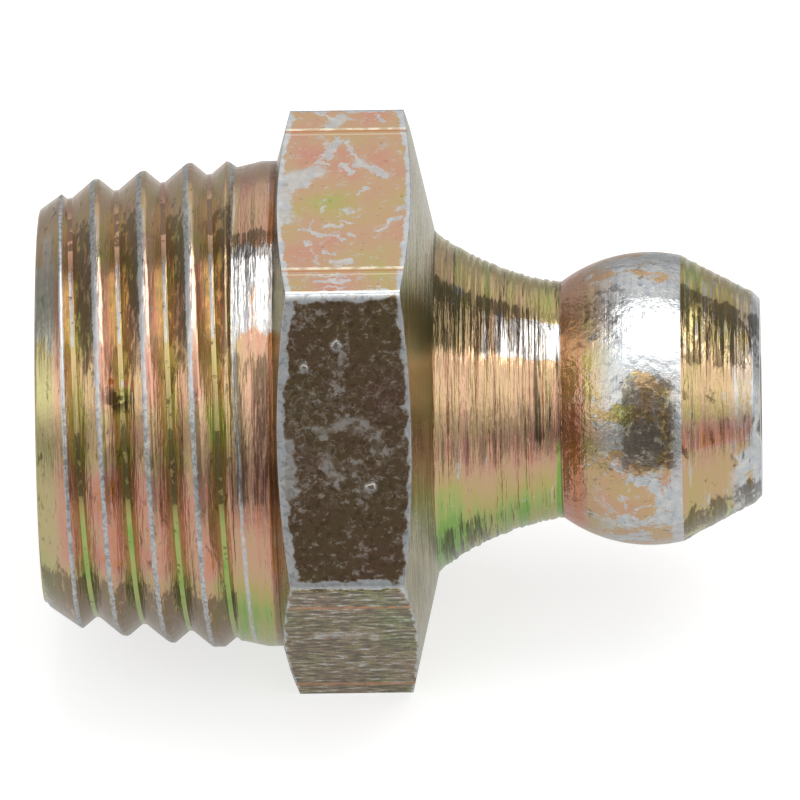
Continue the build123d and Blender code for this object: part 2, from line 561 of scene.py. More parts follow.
def laid_along_axis(tree, shape, start, metal, out):
    """Lays a shape that was made upright, in millimetres, along X from its start, and gives it its metal."""
    turned = {"Geometry": shape, "Rotation": (0.0, math.pi / 2, 0.0), "Scale": (MM, MM, MM)}
    turned["Translation"] = vector(tree, x=product(tree, start, MM))
    shape = add(tree, "GeometryNodeTransform", turned)
    shape = add(tree, "GeometryNodeRealizeInstances", {"Geometry": shape})
    shape = add(tree, "GeometryNodeSetMaterial", {"Geometry": shape, "Material": metal})
    tree.links.new(shape, out.inputs["Geometry"])


print("node groups so far", len(bpy.data.node_groups))

# %% Turn a tree into a mesh


def enclosed_volume(mesh):
    """Volume inside a closed mesh, which is negative when its faces point inwards."""
    mesh.calc_loop_triangles()
    points = np.empty(len(mesh.vertices) * 3)
    mesh.vertices.foreach_get("co", points)
    corners = np.empty(len(mesh.loop_triangles) * 3, dtype=np.int32)
    mesh.loop_triangles.foreach_get("vertices", corners)
    first, second, third = points.reshape(-1, 3)[corners.reshape(-1, 3)].transpose(1, 0, 2)
    return float(np.einsum("ij,ij->i", first, np.cross(second, third)).sum() / 6)


def mesh_from_tree(name, tree, sizes):
    """Runs a tree with these sizes on an empty mesh and keeps the result as a plain mesh object."""
    carrier = new_piece(bpy.data.meshes.new(name + "_carrier"))
    modifier = carrier.modifiers.new(name, "NODES")
    modifier.node_group = tree
    for item in tree.interface.items_tree:
        if item.in_out == "INPUT":
            modifier[item.identifier] = sizes[item.name]
    evaluated = carrier.evaluated_get(bpy.context.evaluated_depsgraph_get())
    mesh = bpy.data.meshes.new_from_object(evaluated)
    carrier.modifiers.remove(modifier)
    bpy.data.objects.remove(carrier)
    mesh.name = name
    if enclosed_volume(mesh) < 0:
        mesh.flip_normals()
    print(name, "faces", len(mesh.polygons), "volume %.2f mm3" % (enclosed_volume(mesh) / MM**3))
    return new_piece(mesh)


print("meshes so far", len(bpy.data.meshes))

# %% The thread's sizes
root_behind = (math.degrees(thread_root_angle) + 90) / 360 * thread_pitch
turns_before = 2
ridge_end_x = -0.45
first_crest_x = thread_root_x + thread_pitch / 2 - root_behind
first_crest_x -= turns_before * thread_pitch
ridge_turns = (ridge_end_x - first_crest_x) / thread_pitch
ridge_sizes = {
    "Points per Turn": 320,
    "Turns": ridge_turns,
    "Pitch": thread_pitch,
    "First Crest": first_crest_x,
    "First Root Radius": root_radius(first_crest_x),
    "Taper": thread_taper,
    "Depth": thread_depth,
    "Root Width": root_width,
    "Flank Slope": flank_slope,
    "Crest Rounding": 0.03,
    "Crest Wear": 0.02,
    "Seed": 3,
}
print("thread turns %.2f from x %.2f mm" % (ridge_turns, first_crest_x))

# %% Sweep the ridge
section_count = 31
tree, size, out = node_tree("thread_ridge", ridge_sizes)
length = product(tree, size["Turns"], size["Pitch"])
winding = {
    "Resolution": size["Points per Turn"],
    "Rotations": size["Turns"],
    "Start Radius": size["First Root Radius"],
    "End Radius": scaled(tree, length, size["Taper"], size["First Root Radius"]),
    "Height": length,
    "Reverse": True,
}
spiral = add(tree, "GeometryNodeCurveSpiral", winding)
path = add(tree, "GeometryNodeSetCurveNormal", {"Curve": spiral}, mode="Z_UP")

half_pitch = product(tree, size["Pitch"], 0.5)
ends = {"Start": vector(tree, y=product(tree, half_pitch, -1.0)), "End": vector(tree, y=half_pitch)}
section_line = add(tree, "GeometryNodeCurvePrimitiveLine", ends)
section_points = add(tree, "GeometryNodeResampleCurve", {"Curve": section_line, "Count": section_count})
section_y = parts_of(tree, add(tree, "GeometryNodeInputPosition"))[1]
toward_hexagon = product(tree, section_y, -1.0)
reach = less(tree, half_pitch, product(tree, size["Root Width"], 0.5))
half_rise = product(tree, half_pitch, size["Taper"])
rear_flank = calc(tree, "DIVIDE", total(tree, reach, toward_hexagon), size["Flank Slope"])
rear_flank = less(tree, rear_flank, half_rise)
front_flank = calc(tree, "DIVIDE", less(tree, reach, toward_hexagon), size["Flank Slope"])
front_flank = total(tree, front_flank, half_rise)
crest_line = scaled(tree, toward_hexagon, size["Taper"], size["Depth"])
flanks = least(tree, rear_flank, front_flank)
section_height = calc(tree, "SMOOTH_MIN", flanks, crest_line, size["Crest Rounding"])
bent = {"Geometry": section_points, "Offset": vector(tree, x=section_height)}
section = add(tree, "GeometryNodeSetPosition", bent)
section = add(tree, "GeometryNodeSetSplineCyclic", {"Geometry": section, "Cyclic": True})
ridge = swept(tree, path, section)
print("ridge tree", len(tree.nodes), "nodes")

# %% Trim the ridge to the blank, and wear its crest
sunk = 0.04  # the ridge's last part lies this far under the relief's floor
free = 0.36  # before the relief that limit is this far above the floor, where it trims nothing
end_clearance = 0.01
seed_step = 17.0
here = add(tree, "GeometryNodeInputPosition")
here_x, here_y, here_z = parts_of(tree, here)
ridge_x = total(tree, here_z, size["First Crest"])
ridge_r = vector_calc(tree, "LENGTH", vector(tree, x=here_x, y=here_y), output=1)

shifted = vector_calc(tree, "ADD", here, vector(tree, z=product(tree, size["Seed"], seed_step)))
nicks = add(tree, "ShaderNodeTexNoise", {"Vector": shifted, "Scale": 3.2, "Detail": 5.0, "Roughness": 0.62})
root_here = scaled(tree, here_z, size["Taper"], size["First Root Radius"])
height_here = calc(tree, "DIVIDE", less(tree, ridge_r, root_here), size["Depth"])
near_crest = ramp(tree, height_here, 0.55, 1.0)
wear_depth = product(tree, ramp(tree, nicks, 0.42, 0.72), size["Crest Wear"])
worn_r = less(tree, ridge_r, product(tree, wear_depth, near_crest))

lead_in_limit = scaled(tree, ridge_x, lead_in_slope, end_face_r - thread_end_x * lead_in_slope)
relief_limit = scaled(tree, ridge_x, -relief_rear_slope, shank_r + relief_start_x * relief_rear_slope)
after_relief = calc(tree, "GREATER_THAN", ridge_x, relief_x - relief_half)
hidden_limit = scaled(tree, after_relief, -(free + sunk), relief_floor_r + free)
trimmed_r = least(tree, worn_r, least(tree, lead_in_limit, relief_limit, hidden_limit, shank_r))
share = calc(tree, "DIVIDE", trimmed_r, ridge_r)
kept_z = most(tree, here_z, less(tree, thread_end_x + end_clearance, size["First Crest"]))
trimmed = vector(tree, x=product(tree, here_x, share), y=product(tree, here_y, share), z=kept_z)
past_lead_in = {"Geometry": ridge, "Name": "lead_in_mm", "Value": less(tree, ridge_r, lead_in_limit)}
ridge = add(tree, "GeometryNodeStoreNamedAttribute", past_lead_in, data_type="FLOAT", domain="POINT")
ridge = add(tree, "GeometryNodeSetPosition", {"Geometry": ridge, "Position": trimmed})
ridge_metal = bpy.data.materials.new("thread_ridge")
laid_along_axis(tree, ridge, size["First Crest"], ridge_metal, out)
thread = mesh_from_tree("thread_ridge", tree, ridge_sizes)

# %% [markdown]
# ## The check spring
# The spring is a round wire wound on a cylinder: the same two steps as the thread, a spiral and a sweep,
# with a circle for the section. Its last turn stops short of the ball, and its first rests near the
# rolled-in lip.

# %% Wind the spring
spring_low, spring_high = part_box("check_spring")
wire_r = 0.15
spring_sizes = {
    "Points per Turn": 72,
    "Turns": 9.0,
    "Length": (spring_high.x - spring_low.x) / MM - 2 * wire_r,
    "Coil Radius": (spring_high.z - spring_low.z) / 2 / MM - wire_r,
    "Wire Radius": wire_r,
    "Start": spring_low.x / MM + wire_r,
}
tree, size, out = node_tree("check_spring_coil", spring_sizes)
winding = {
    "Resolution": size["Points per Turn"],
    "Rotations": size["Turns"],
    "Start Radius": size["Coil Radius"],
    "End Radius": size["Coil Radius"],
    "Height": size["Length"],
}
coil = add(tree, "GeometryNodeCurveSpiral", winding)
round_wire = {"Resolution": 16, "Radius": size["Wire Radius"]}
wire = add(tree, "GeometryNodeCurvePrimitiveCircle", round_wire, mode="RADIUS")
wire_metal = bpy.data.materials.new("spring_wire")
laid_along_axis(tree, swept(tree, coil, wire), size["Start"], wire_metal, out)
spring = mesh_from_tree("check_spring_coil", tree, spring_sizes)

# %% [markdown]
# ## The check ball
# A bearing ball is ground, so it is the roundest thing here. Its mesh starts as an icosphere, whose
# triangles are all about the same size and leave no pinched poles, and is placed in its seat by its box in
# the frame.

# %% Make the ball
import bmesh

ball_low, ball_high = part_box("check_ball")
ball_centre = (ball_low + ball_high) / 2
ball_radius = (ball_high.x - ball_low.x) / 2
ball_mesh = bpy.data.meshes.new("check_ball_ground")
shell = bmesh.new()
bmesh.ops.create_icosphere(shell, subdivisions=5, radius=ball_radius, matrix=Matrix.Translation(ball_centre))
shell.to_mesh(ball_mesh)
shell.free()
ball_mesh.shade_smooth()
ball = new_piece(ball_mesh)
ball_metal = bpy.data.materials.new("ball_steel")
ball_mesh.materials.append(ball_metal)
print("ball radius %.2f mm at x %.2f mm" % (ball_radius / MM, ball_centre.x / MM))

# %% [markdown]
# ## Yellow chromate over zinc
# The finish is a thin passivated film on bright zinc. It is a metal everywhere, so one recipe serves all
# zones: the film's tint drifts between green, tan, salmon and rust, wear rubs it through to bluish zinc, and
# dirt stays dark in the low places. The same two masks also carry painted light: bare zinc stands for painted
# highlights, and the dark soot colour for painted shade. The turning tool leaves fine rings, which are what
# breaks a highlight on a turned surface into streaks. Each zone then says where it is worn or painted as
# highlight, where it is dirty or painted as shade, and what its tint is.

# %% Where a point is
lit_turn = 38.7  # middle of the near side, in degrees up from the front. The far side mirrors the near one


def places(tree):
    """A point of the object in millimetres: position, its parts, radius, and degrees about the axis.

    The degrees count from the front upwards, and the far side counts back again, so no colour ends at a seam.
    """
    coordinates = add(tree, "ShaderNodeTexCoord", output=3)
    position = times_vector(tree, coordinates, 1 / MM)
    x, y, z = parts_of(tree, position)
    radius = calc(tree, "SQRT", scaled(tree, y, y, product(tree, z, z)))
    across = product(tree, y, math.sin(math.radians(lit_turn)))
    across = scaled(tree, z, math.cos(math.radians(lit_turn)), across)
    turn = calc(tree, "DEGREES", calc(tree, "ARCSINE", calc(tree, "DIVIDE", across, radius)))
    turn = total(tree, turn, lit_turn)
    return {"P": position, "x": x, "y": y, "z": z, "turn": turn, "r": radius}


print("the near side's middle is %.1f degrees up from the front" % lit_turn)

# %% Noise and blends


def grain(tree, at, scale, stretch=(1.0, 1.0, 1.0), detail=3.0, roughness=0.55, offset=0.0, distortion=0.0):
    """Noise from 0 to 1 with this many features per millimetre, which may be stretched along the axes."""
    place = at["P"]
    if stretch != (1.0, 1.0, 1.0) or offset:
        shift = (offset, offset * 0.7, -offset)
        place = add(tree, "ShaderNodeMapping", {"Vector": place, "Location": shift, "Scale": stretch})
    inputs = {"Vector": place, "Scale": scale, "Detail": detail, "Roughness": roughness}
    inputs["Distortion"] = distortion
    return add(tree, "ShaderNodeTexNoise", inputs)


def rings_of_tool(tree, at, scale, detail=4.0, roughness=0.6, offset=0.0):
    """Noise that hardly changes round the axis: the marks of a turning tool."""
    return grain(tree, at, scale, (1.0, 0.035, 0.035), detail, roughness, offset)


def blend(tree, share, first, second):
    """Number between two others."""
    limits = {"Value": share, "To Min": first, "To Max": second}
    return add(tree, "ShaderNodeMapRange", limits, interpolation_type="LINEAR")


def band(tree, value, low, high, soft):
    """Mask that is 1 between two limits and fades over a width outside them."""
    rise = ramp(tree, value, low - soft, low)
    fall = ramp(tree, value, high, high + soft, 1.0, 0.0)
    return product(tree, rise, fall)


print("noise scales are in features per millimetre")

# %% The film's tints


def srgb(red, green, blue):
    """Linear colour of an 8-bit display colour."""
    shares = [value / 255 for value in (red, green, blue)]
    return tuple(v / 12.92 if v <= 10 / 255 else ((v + 0.055) / 1.055) ** 2.4 for v in shares)


def tint(tree, value, stops):
    """Colour ramp from (place, colour) pairs in rising order."""
    made = tree.nodes.new("ShaderNodeValToRGB")
    tree.links.new(value, made.inputs[0])
    elements = made.color_ramp.elements
    elements[0].position, elements[1].position = stops[0][0], stops[-1][0]
    for place, _ in stops[1:-1]:
        elements.new(place)
    for element, (_, colour) in zip(elements, stops):
        element.color = (*colour, 1.0)
    return made.outputs[0]


film_tints = [
    (0.0, srgb(134, 172, 90)),
    (0.13, srgb(168, 180, 110)),
    (0.28, srgb(186, 174, 112)),
    (0.45, srgb(196, 169, 127)),
    (0.62, srgb(200, 163, 133)),
    (0.78, srgb(204, 148, 130)),
    (0.89, srgb(200, 138, 90)),
    (1.0, srgb(158, 102, 64)),
]
zinc_tints = [(0.3, srgb(181, 186, 190)), (0.7, srgb(208, 208, 206))]
soot_and_shade_colour = srgb(62, 52, 38)
print("film tints", len(film_tints))

# %% Chromate, and the metal shader


def chromate(tree, at, hue, wear, dirt):
    """Colour of the film: zinc where rubbed or painted as highlight, soot colour where dirty or painted as
    shade.
    """
    film = tint(tree, hue, film_tints)
    zinc = tint(tree, grain(tree, at, 5.0, detail=2.0, offset=3.0), zinc_tints)
    clean = mix_colour(tree, wear, film, zinc)
    return mix_colour(tree, dirt, clean, soot_and_shade_colour)


def finish(material, build):
    """Fills a material with one metal shader. build returns its colour, roughness, bump height and depth."""
    material.use_nodes = True
    tree = material.node_tree
    tree.nodes.clear()
    colour, roughness, height, depth = build(tree, places(tree))
    shader = tree.nodes.new("ShaderNodeBsdfPrincipled")
    shader.inputs["Metallic"].default_value = 1.0
    tree.links.new(colour, shader.inputs["Base Color"])
    tree.links.new(roughness, shader.inputs["Roughness"])
    bump = add(tree, "ShaderNodeBump", {"Height": height, "Distance": depth * MM, "Strength": 1.0})
    tree.links.new(bump, shader.inputs["Normal"])
    surface = tree.nodes.new("ShaderNodeOutputMaterial")
    tree.links.new(shader.outputs[0], surface.inputs["Surface"])
    print(material.name, "has", len(tree.nodes), "nodes")


print("soot", tuple(round(value, 3) for value in soot_and_shade_colour))

# %% [markdown]
# ## Masks that the finishes share
# Wear and dirt are both masks from 0 to 1. Patches are ragged islands that cover roughly a given share of a
# surface. Scores are short dark or bright lines round a turned surface, where the tool tore the metal: noise
# that is squeezed across the axis, and that more of passes its threshold where a second mask says so.

# %% Masks
noise_spread = 0.42  # how far the threshold moves between covering nothing and covering everything
gathering = 0.2  # how far a mask lifts the noise where the patches gather


def patches(tree, at, scale, share, offset, stretch=(1.0, 1.0, 1.0), sharp=0.04, more=0.0):
    """Ragged patches over roughly this share of a surface, and more of them where the last mask is high."""
    field = grain(tree, at, scale, stretch, detail=6.0, roughness=0.68, offset=offset, distortion=0.4)
    if more != 0.0:
        field = scaled(tree, more, gathering, field)
    level = 0.5 + (0.5 - share) * noise_spread
    return ramp(tree, field, level - sharp / 2, level + sharp / 2)


def scores(tree, at, scale, share, offset, run=0.08, sharp=0.06, more=0.0):
    """Short lines round the axis that cover roughly this share, and more where the last mask is high."""
    return patches(tree, at, scale, share, offset, (1.0, run, run), sharp, more)


def round_spot(tree, place, centre, radius, soft):
    """Mask of a round spot."""
    away = vector_calc(tree, "DISTANCE", place, centre, output=1)
    return ramp(tree, away, radius - soft, radius + soft, 1.0, 0.0)


print("threshold of patches that cover a tenth: %.2f" % (0.5 + 0.4 * noise_spread))

# %% [markdown]
# ## The turned neck and shank
# On a turned surface the film is salmon where it faces up or level, pink below that, and turns through tan to
# yellow-green underneath. The tool's rings go round the part, so their noise is squeezed across the axis
# until it hardly changes there. Two sets are mixed: fine ones that tear the highlight, and a few wide ones
# that show as bands. Dark scores gather where the last ring meets the head. As painted shade they also gather
# where the neck turns towards the bench, in dark bands below and above the highlight, and through the
# highlight itself. Bare scores gather in the highlight's band as a painted highlight.

# %% Tint and marks of turned surfaces


def turned_hue(tree, at, drift_share, upper_shift, green_turn, tan_turn, tan):
    """Tint of a turned surface: it runs from tan or salmon in front to green underneath, and drifts."""
    under = ramp(tree, at["turn"], green_turn, tan_turn, 0.14, tan)
    over = ramp(tree, at["turn"], 64.0, 100.0, 0.0, upper_shift)
    pink = band(tree, at["turn"], 10.0, 22.0, 6.0)
    hue = scaled(tree, pink, 0.1, total(tree, under, over))
    drift = grain(tree, at, 0.8, (1.4, 1.0, 1.0), detail=4.0)
    drift = scaled(tree, drift, drift_share, -drift_share / 2)
    lines = scaled(tree, rings_of_tool(tree, at, 6.0, offset=2.0), 0.7, -0.35)
    return total(tree, hue, drift, lines)


def face_rings(tree, at, scale):
    """Noise in rings about the axis, as a facing cut leaves them."""
    place = vector(tree, x=at["r"], y=product(tree, at["turn"], 0.006))
    inputs = {"Vector": place, "Scale": scale, "Detail": 4.0, "Roughness": 0.65}
    return add(tree, "ShaderNodeTexNoise", inputs)


def turned_bump(tree, at, fine=0.55):
    """Height of the tool's marks with some grit on them."""
    coarse = rings_of_tool(tree, at, 3.2, detail=3.0, roughness=0.5, offset=5.0)
    narrow = grain(tree, at, 9.0, (1.0, 0.07, 0.07), detail=3.0, roughness=0.65)
    marks = scaled(tree, narrow, fine, product(tree, coarse, 0.6))
    grit = grain(tree, at, 9.0, (1.0, 0.4, 0.4), detail=3.0, roughness=0.6, offset=7.0)
    return scaled(tree, grit, 0.16, marks)


print("turned surfaces have three layers of marks: wide rings, narrow rings and grit")

# %% Finish of the neck


def neck_finish(tree, at):
    """Turned neck between the hexagon and the ball."""
    # Painted shade: dark scores gather in a low band and a top band, which are the dark reflections below and
    # above the highlight, through the highlight and on the underside. Near the head on the right they are the
    # tool's own scores.
    low = band(tree, at["turn"], 19.0, 29.0, 6.0)
    top = band(tree, at["turn"], 92.0, 112.0, 8.0)
    right = product(tree, ramp(tree, at["x"], 4.7, 5.6), band(tree, at["turn"], 22.0, 58.0, 8.0), 0.75)
    torn_highlight_shade = product(tree, band(tree, at["turn"], 62.0, 84.0, 6.0), ramp(tree, at["x"], 5.1, 5.8, 1.1, 0.2))
    underside_shade = ramp(tree, at["turn"], -18.0, -6.0, 0.9, 0.0)
    underside_shade = product(tree, underside_shade, ramp(tree, at["x"], 4.3, 5.0, 1.0, 0.3))
    score_and_shade_gather = most(tree, product(tree, most(tree, low, top), 0.35), right, torn_highlight_shade, underside_shade)
    dark_scores_and_shade = scores(tree, at, 12.0, 0.1, 1.0, 0.045, 0.08, more=score_and_shade_gather)
    # Painted shade: a ragged corner patch beside the hexagon, where the steep flare turns the highlight away,
    # is darkened and tinted greener.
    shade_patch_edge = scaled(tree, grain(tree, at, 6.0, (1.4, 0.12, 0.12), offset=4.0), 1.6, at["x"])
    corner = ramp(tree, shade_patch_edge, 4.7, 5.0, 1.0, 0.0)
    corner = product(tree, corner, band(tree, at["turn"], 60.0, 82.0, 6.0), 0.8)
    # Painted shade: a dark line in the upper corner where the neck meets the hexagon.
    corner_shade_line = ramp(tree, at["x"], hex_length + 0.02, hex_length + 0.07, 0.7, 0.0)
    corner_shade_line = product(tree, corner_shade_line, ramp(tree, at["turn"], 52.0, 60.0))
    groove = ramp(tree, gap(tree, at["x"], neck_end_x), 0.0, 0.05, 0.7, 0.0)
    dirt = most(tree, product(tree, dark_scores_and_shade, 0.76), corner, groove, corner_shade_line)
    # Painted highlight: bare rubbed scores gather in the highlight's band, most of all near the head.
    painted_highlight = band(tree, at["turn"], 60.0, 76.0, 5.0)
    painted_highlight = product(tree, painted_highlight, ramp(tree, at["x"], 4.0, 5.6, 0.3, 1.5))
    rub_and_highlight = most(
        tree,
        scores(tree, at, 7.0, 0.12, 13.0, 0.06, more=painted_highlight),
        patches(tree, at, 3.0, 0.05, 4.0),
        round_spot(tree, at["P"], (3.83, -0.32, 3.19), 0.14, 0.1),
    )
    edge_green = ramp(tree, gap(tree, at["x"], 5.99), 0.02, 0.08, 0.6, 0.0)
    edge_green = product(tree, edge_green, band(tree, at["turn"], -30.0, 14.0, 8.0))
    beside_hexagon = ramp(tree, at["x"], 3.6, 4.1, 0.24, 0.0)
    beside_hexagon = product(tree, beside_hexagon, ramp(tree, at["turn"], 6.0, 22.0, 1.0, 0.0))
    green = scaled(tree, corner, 0.22, total(tree, edge_green, beside_hexagon))
    hue = less(tree, turned_hue(tree, at, 0.4, -0.23, -21.0, 14.0, 0.57), green)
    colour = chromate(tree, at, hue, product(tree, rub_and_highlight, 0.8), dirt)
    roughness = blend(tree, grain(tree, at, 4.0, detail=2.0), 0.13, 0.27)
    return colour, roughness, turned_bump(tree, at), 0.085


body_finish = {material.name.rsplit("turned_", 1)[1]: material for material in body_mesh.materials}
finish(body_finish["neck"], neck_finish)

# %% Finish of the shank


def thread_phase(tree, at):
    """Place across the thread at a point: 0 on a root, 0.5 on a crest, and more on the flank past it."""
    behind_root = (180.0 - math.degrees(thread_root_angle)) / 360.0 * thread_pitch + thread_root_x
    round_axis = calc(tree, "ARCTAN2", at["z"], product(tree, at["y"], -1.0))
    lead = thread_pitch / math.tau
    along = scaled(tree, round_axis, lead, less(tree, at["x"], behind_root))
    return calc(tree, "FRACT", calc(tree, "DIVIDE", along, thread_pitch))


def shank_finish(tree, at):
    """Plain shank between the thread and the hexagon."""
    # Painted shade: dark scores gather in two bands below the highlight and in a thin band above it.
    low = band(tree, at["turn"], 16.0, 30.0, 6.0)
    high = band(tree, at["turn"], 77.0, 83.0, 3.0)
    middle = band(tree, at["turn"], 24.0, 48.0, 6.0)
    score_and_shade_gather = most(tree, product(tree, most(tree, low, middle), 0.8), high)
    dark_scores_and_shade = scores(tree, at, 9.0, 0.14, 9.0, 0.06, 0.08, more=score_and_shade_gather)
    corner = ramp(tree, at["x"], -0.14, -0.07)
    dirt = most(tree, product(tree, dark_scores_and_shade, 0.64), product(tree, corner, 0.5))
    hue = total(tree, turned_hue(tree, at, 0.3, -0.04, -22.0, 1.0, 0.66), product(tree, corner, 0.25))
    hue = scaled(tree, band(tree, at["x"], -0.86, -0.74, 0.03), -0.14, hue)
    last_crest = gap(tree, thread_phase(tree, at), 0.43)
    last_crest = scaled(tree, grain(tree, at, 6.5, detail=5.0, roughness=0.7), 0.12, last_crest)
    last_crest = ramp(tree, last_crest, 0.09, 0.115, 1.0, 0.0)
    last_crest = product(tree, last_crest, ramp(tree, at["x"], -0.5, -0.35, 1.0, 0.0))
    # Painted highlight: bare rubbed scores gather in the highlight's band.
    painted_highlight = band(tree, at["turn"], 58.0, 77.0, 6.0)
    last_crest = product(tree, last_crest, patches(tree, at, 4.0, 0.75, 3.0, sharp=0.2))
    rub_and_highlight = most(tree, scores(tree, at, 6.0, 0.1, 6.0, more=product(tree, painted_highlight, 1.4)), last_crest)
    colour = chromate(tree, at, hue, product(tree, rub_and_highlight, 0.85), dirt)
    roughness = blend(tree, grain(tree, at, 4.0, detail=2.0), 0.13, 0.25)
    return colour, roughness, turned_bump(tree, at), 0.075


finish(body_finish["shank"], shank_finish)

# %% [markdown]
# ## The thread
# The flanks keep their film, mottled with dirt, most of all on their upper side. There, on the underside and
# in a band in front, the mottle is painted shade. The crests are rubbed by every hole that the nipple was
# tried in, so they are dull bare zinc with a ragged edge. In the highlight's band the crests and the flank
# beside them carry a painted highlight. Where a point lies across the thread follows from the pitch, and the
# thread's own tree keeps how far it is past the lead-in. The core between the ridges is the floor of the
# groove and keeps the greenest film, with painted shade in two bands and a painted highlight in the
# highlight's band. One turn has a small dent, where something sharp was pressed between two crests. The faced
# end has rings round the passage.

# %% Tint of the thread, and its dent
dent_place = (-3.33, -3.61, 3.05)


def thread_hue(tree, at, right_flank, near_root, end_zone):
    """Tint of the flanks: tan, gold in the light on the right flanks, salmon low in front and brown below."""
    drift = grain(tree, at, 1.1, (2.2, 1.0, 1.0), detail=4.0, roughness=0.6)
    lines = rings_of_tool(tree, at, 6.0, offset=8.0)
    hue = scaled(tree, drift, 0.8, scaled(tree, lines, 0.4, -0.12))
    pink = band(tree, at["turn"], -4.0, 18.0, 8.0)
    hue = scaled(tree, pink, 0.24, hue)
    gold = product(tree, band(tree, at["turn"], 42.0, 72.0, 8.0), right_flank)
    hue = blend(tree, product(tree, gold, 0.6), hue, 0.86)
    hue = scaled(tree, product(tree, near_root, band(tree, at["turn"], -24.0, 72.0, 6.0)), -0.22, hue)
    return blend(tree, product(tree, end_zone, 0.75), hue, ramp(tree, at["turn"], 70.0, 84.0, 0.24, 0.5))


def dent_masks(tree, at):
    """A dent between two crests: where it is dark, and where its raised edge is bright."""
    x, y, z = dent_place
    middle = round_spot(tree, at["P"], (x - 0.03, y, z), 0.28, 0.14)
    middle = product(tree, middle, ramp(tree, grain(tree, at, 4.0, detail=3.0, offset=6.0), 0.42, 0.5))
    edge = round_spot(tree, at["P"], (x + 0.17, y + 0.24, z + 0.24), 0.09, 0.04)
    return middle, most(tree, edge, round_spot(tree, at["P"], (x - 0.13, y + 0.24, z + 0.3), 0.08, 0.04))


print("dent at", dent_place)

# %% Finish of the thread's flanks and crests


def ridge_finish(tree, at):
    """Flanks and crest of the thread."""
    past_lead_in = carried(tree, "lead_in_mm")
    phase = thread_phase(tree, at)
    ragged = grain(tree, at, 6.5, detail=5.0, roughness=0.7, offset=2.0)
    from_crest = gap(tree, phase, 0.5)
    crest = ramp(tree, scaled(tree, ragged, 0.12, from_crest), 0.095, 0.125, 1.0, 0.0)
    crest = product(tree, crest, ramp(tree, past_lead_in, -0.02, 0.0, 1.0, 0.0))
    corner = scaled(tree, ragged, 0.1, calc(tree, "ABSOLUTE", past_lead_in))
    crest = most(tree, crest, ramp(tree, corner, 0.1, 0.13, 1.0, 0.0))
    right_flank = band(tree, phase, 0.56, 0.97, 0.03)
    near_root = ramp(tree, from_crest, 0.26, 0.4)
    end_zone = ramp(tree, at["x"], thread_end_x + 0.3, thread_end_x + 0.55, 1.0, 0.0)
    # Painted shade: the dirt mottle gathers on the upper left flanks, which face away from the light, on the
    # underside, and a little in the shadow band in front.
    upper = product(tree, ramp(tree, at["turn"], 34.0, 62.0), ramp(tree, at["turn"], 90.0, 100.0, 1.0, 0.0))
    left_flank_shade = product(tree, upper, inverse(tree, most(tree, right_flank, end_zone)))
    lower = ramp(tree, at["turn"], -20.0, -8.0, 1.3, 0.0)
    shadow = band(tree, at["turn"], 12.0, 26.0, 7.0)
    flecks = product(tree, patches(tree, at, 4.5, 0.1, 5.0), 0.6)
    score_and_shade_gather = most(tree, left_flank_shade, lower, product(tree, shadow, 0.12))
    mottle = patches(tree, at, 6.0, 0.2, 11.0, (1.5, 0.36, 0.36), 0.12, more=score_and_shade_gather)
    dent, dent_edge = dent_masks(tree, at)
    bright = inverse(tree, crest)
    dirt = most(tree, product(tree, mottle, bright, 0.62), product(tree, dent, 0.85))
    grey = product(tree, patches(tree, at, 9.0, 0.45, 6.0, sharp=0.1), 0.42)
    # Painted highlight: in the highlight's band the crests lose their grey, and the flank beside each crest
    # and the end zone are rubbed bright.
    shining = band(tree, at["turn"], 44.0, 74.0, 8.0)
    dirt = most(tree, dirt, product(tree, crest, grey, scaled(tree, shining, -0.85, 1.0)))
    crest_side_highlight = ramp(tree, gap(tree, phase, 0.515), 0.05, 0.14, 0.6, 0.0)
    crest_side_highlight = product(tree, crest_side_highlight, band(tree, at["turn"], 56.0, 92.0, 6.0))
    end_rub_and_highlight = product(tree, end_zone, most(tree, band(tree, at["turn"], 60.0, 80.0, 5.0), 0.2), 0.62)
    dirt = product(tree, dirt, inverse(tree, dent_edge))
    wear = most(tree, crest, flecks, crest_side_highlight, end_rub_and_highlight)
    hue = scaled(tree, dent_edge, 0.4, thread_hue(tree, at, right_flank, near_root, end_zone))
    colour = chromate(tree, at, hue, wear, dirt)
    return colour, blend(tree, crest, 0.2, 0.4), turned_bump(tree, at, 0.4), 0.04


finish(ridge_metal, ridge_finish)

# %% Finish of the roots and the faced end


def root_finish(tree, at):
    """Floor of the groove and the lead-in."""
    drift = grain(tree, at, 1.0, detail=4.0)
    under = ramp(tree, at["turn"], 2.0, 18.0, -0.24, -0.04)
    over = ramp(tree, at["turn"], 36.0, 80.0, 0.0, 0.34)
    hue = total(tree, scaled(tree, drift, 0.5, 0.1), total(tree, under, over))
    # Painted shade: dark specks gather in a band above the highlight and in the dark band in front.
    upper = most(tree, band(tree, at["turn"], 88.0, 100.0, 5.0), band(tree, at["turn"], 16.0, 30.0, 5.0))
    specks = product(tree, patches(tree, at, 4.0, 0.22, 3.0, more=upper), 0.65)
    dent, dent_edge = dent_masks(tree, at)
    # Painted highlight: the floor of the groove is rubbed bright in the highlight's band.
    painted_highlight = band(tree, at["turn"], 57.0, 77.0, 4.0)
    from_crest = gap(tree, thread_phase(tree, at), 0.5)
    painted_highlight = product(tree, painted_highlight, ramp(tree, from_crest, 0.46, 0.48))
    wear = product(tree, patches(tree, at, 3.0, 0.08, 7.0, more=product(tree, painted_highlight, 1.8)), 0.8)
    dirt = most(tree, specks, product(tree, dent, 0.85))
    colour = chromate(tree, at, hue, most(tree, wear, dent_edge), dirt)
    return colour, blend(tree, drift, 0.15, 0.25), turned_bump(tree, at, 0.3), 0.03


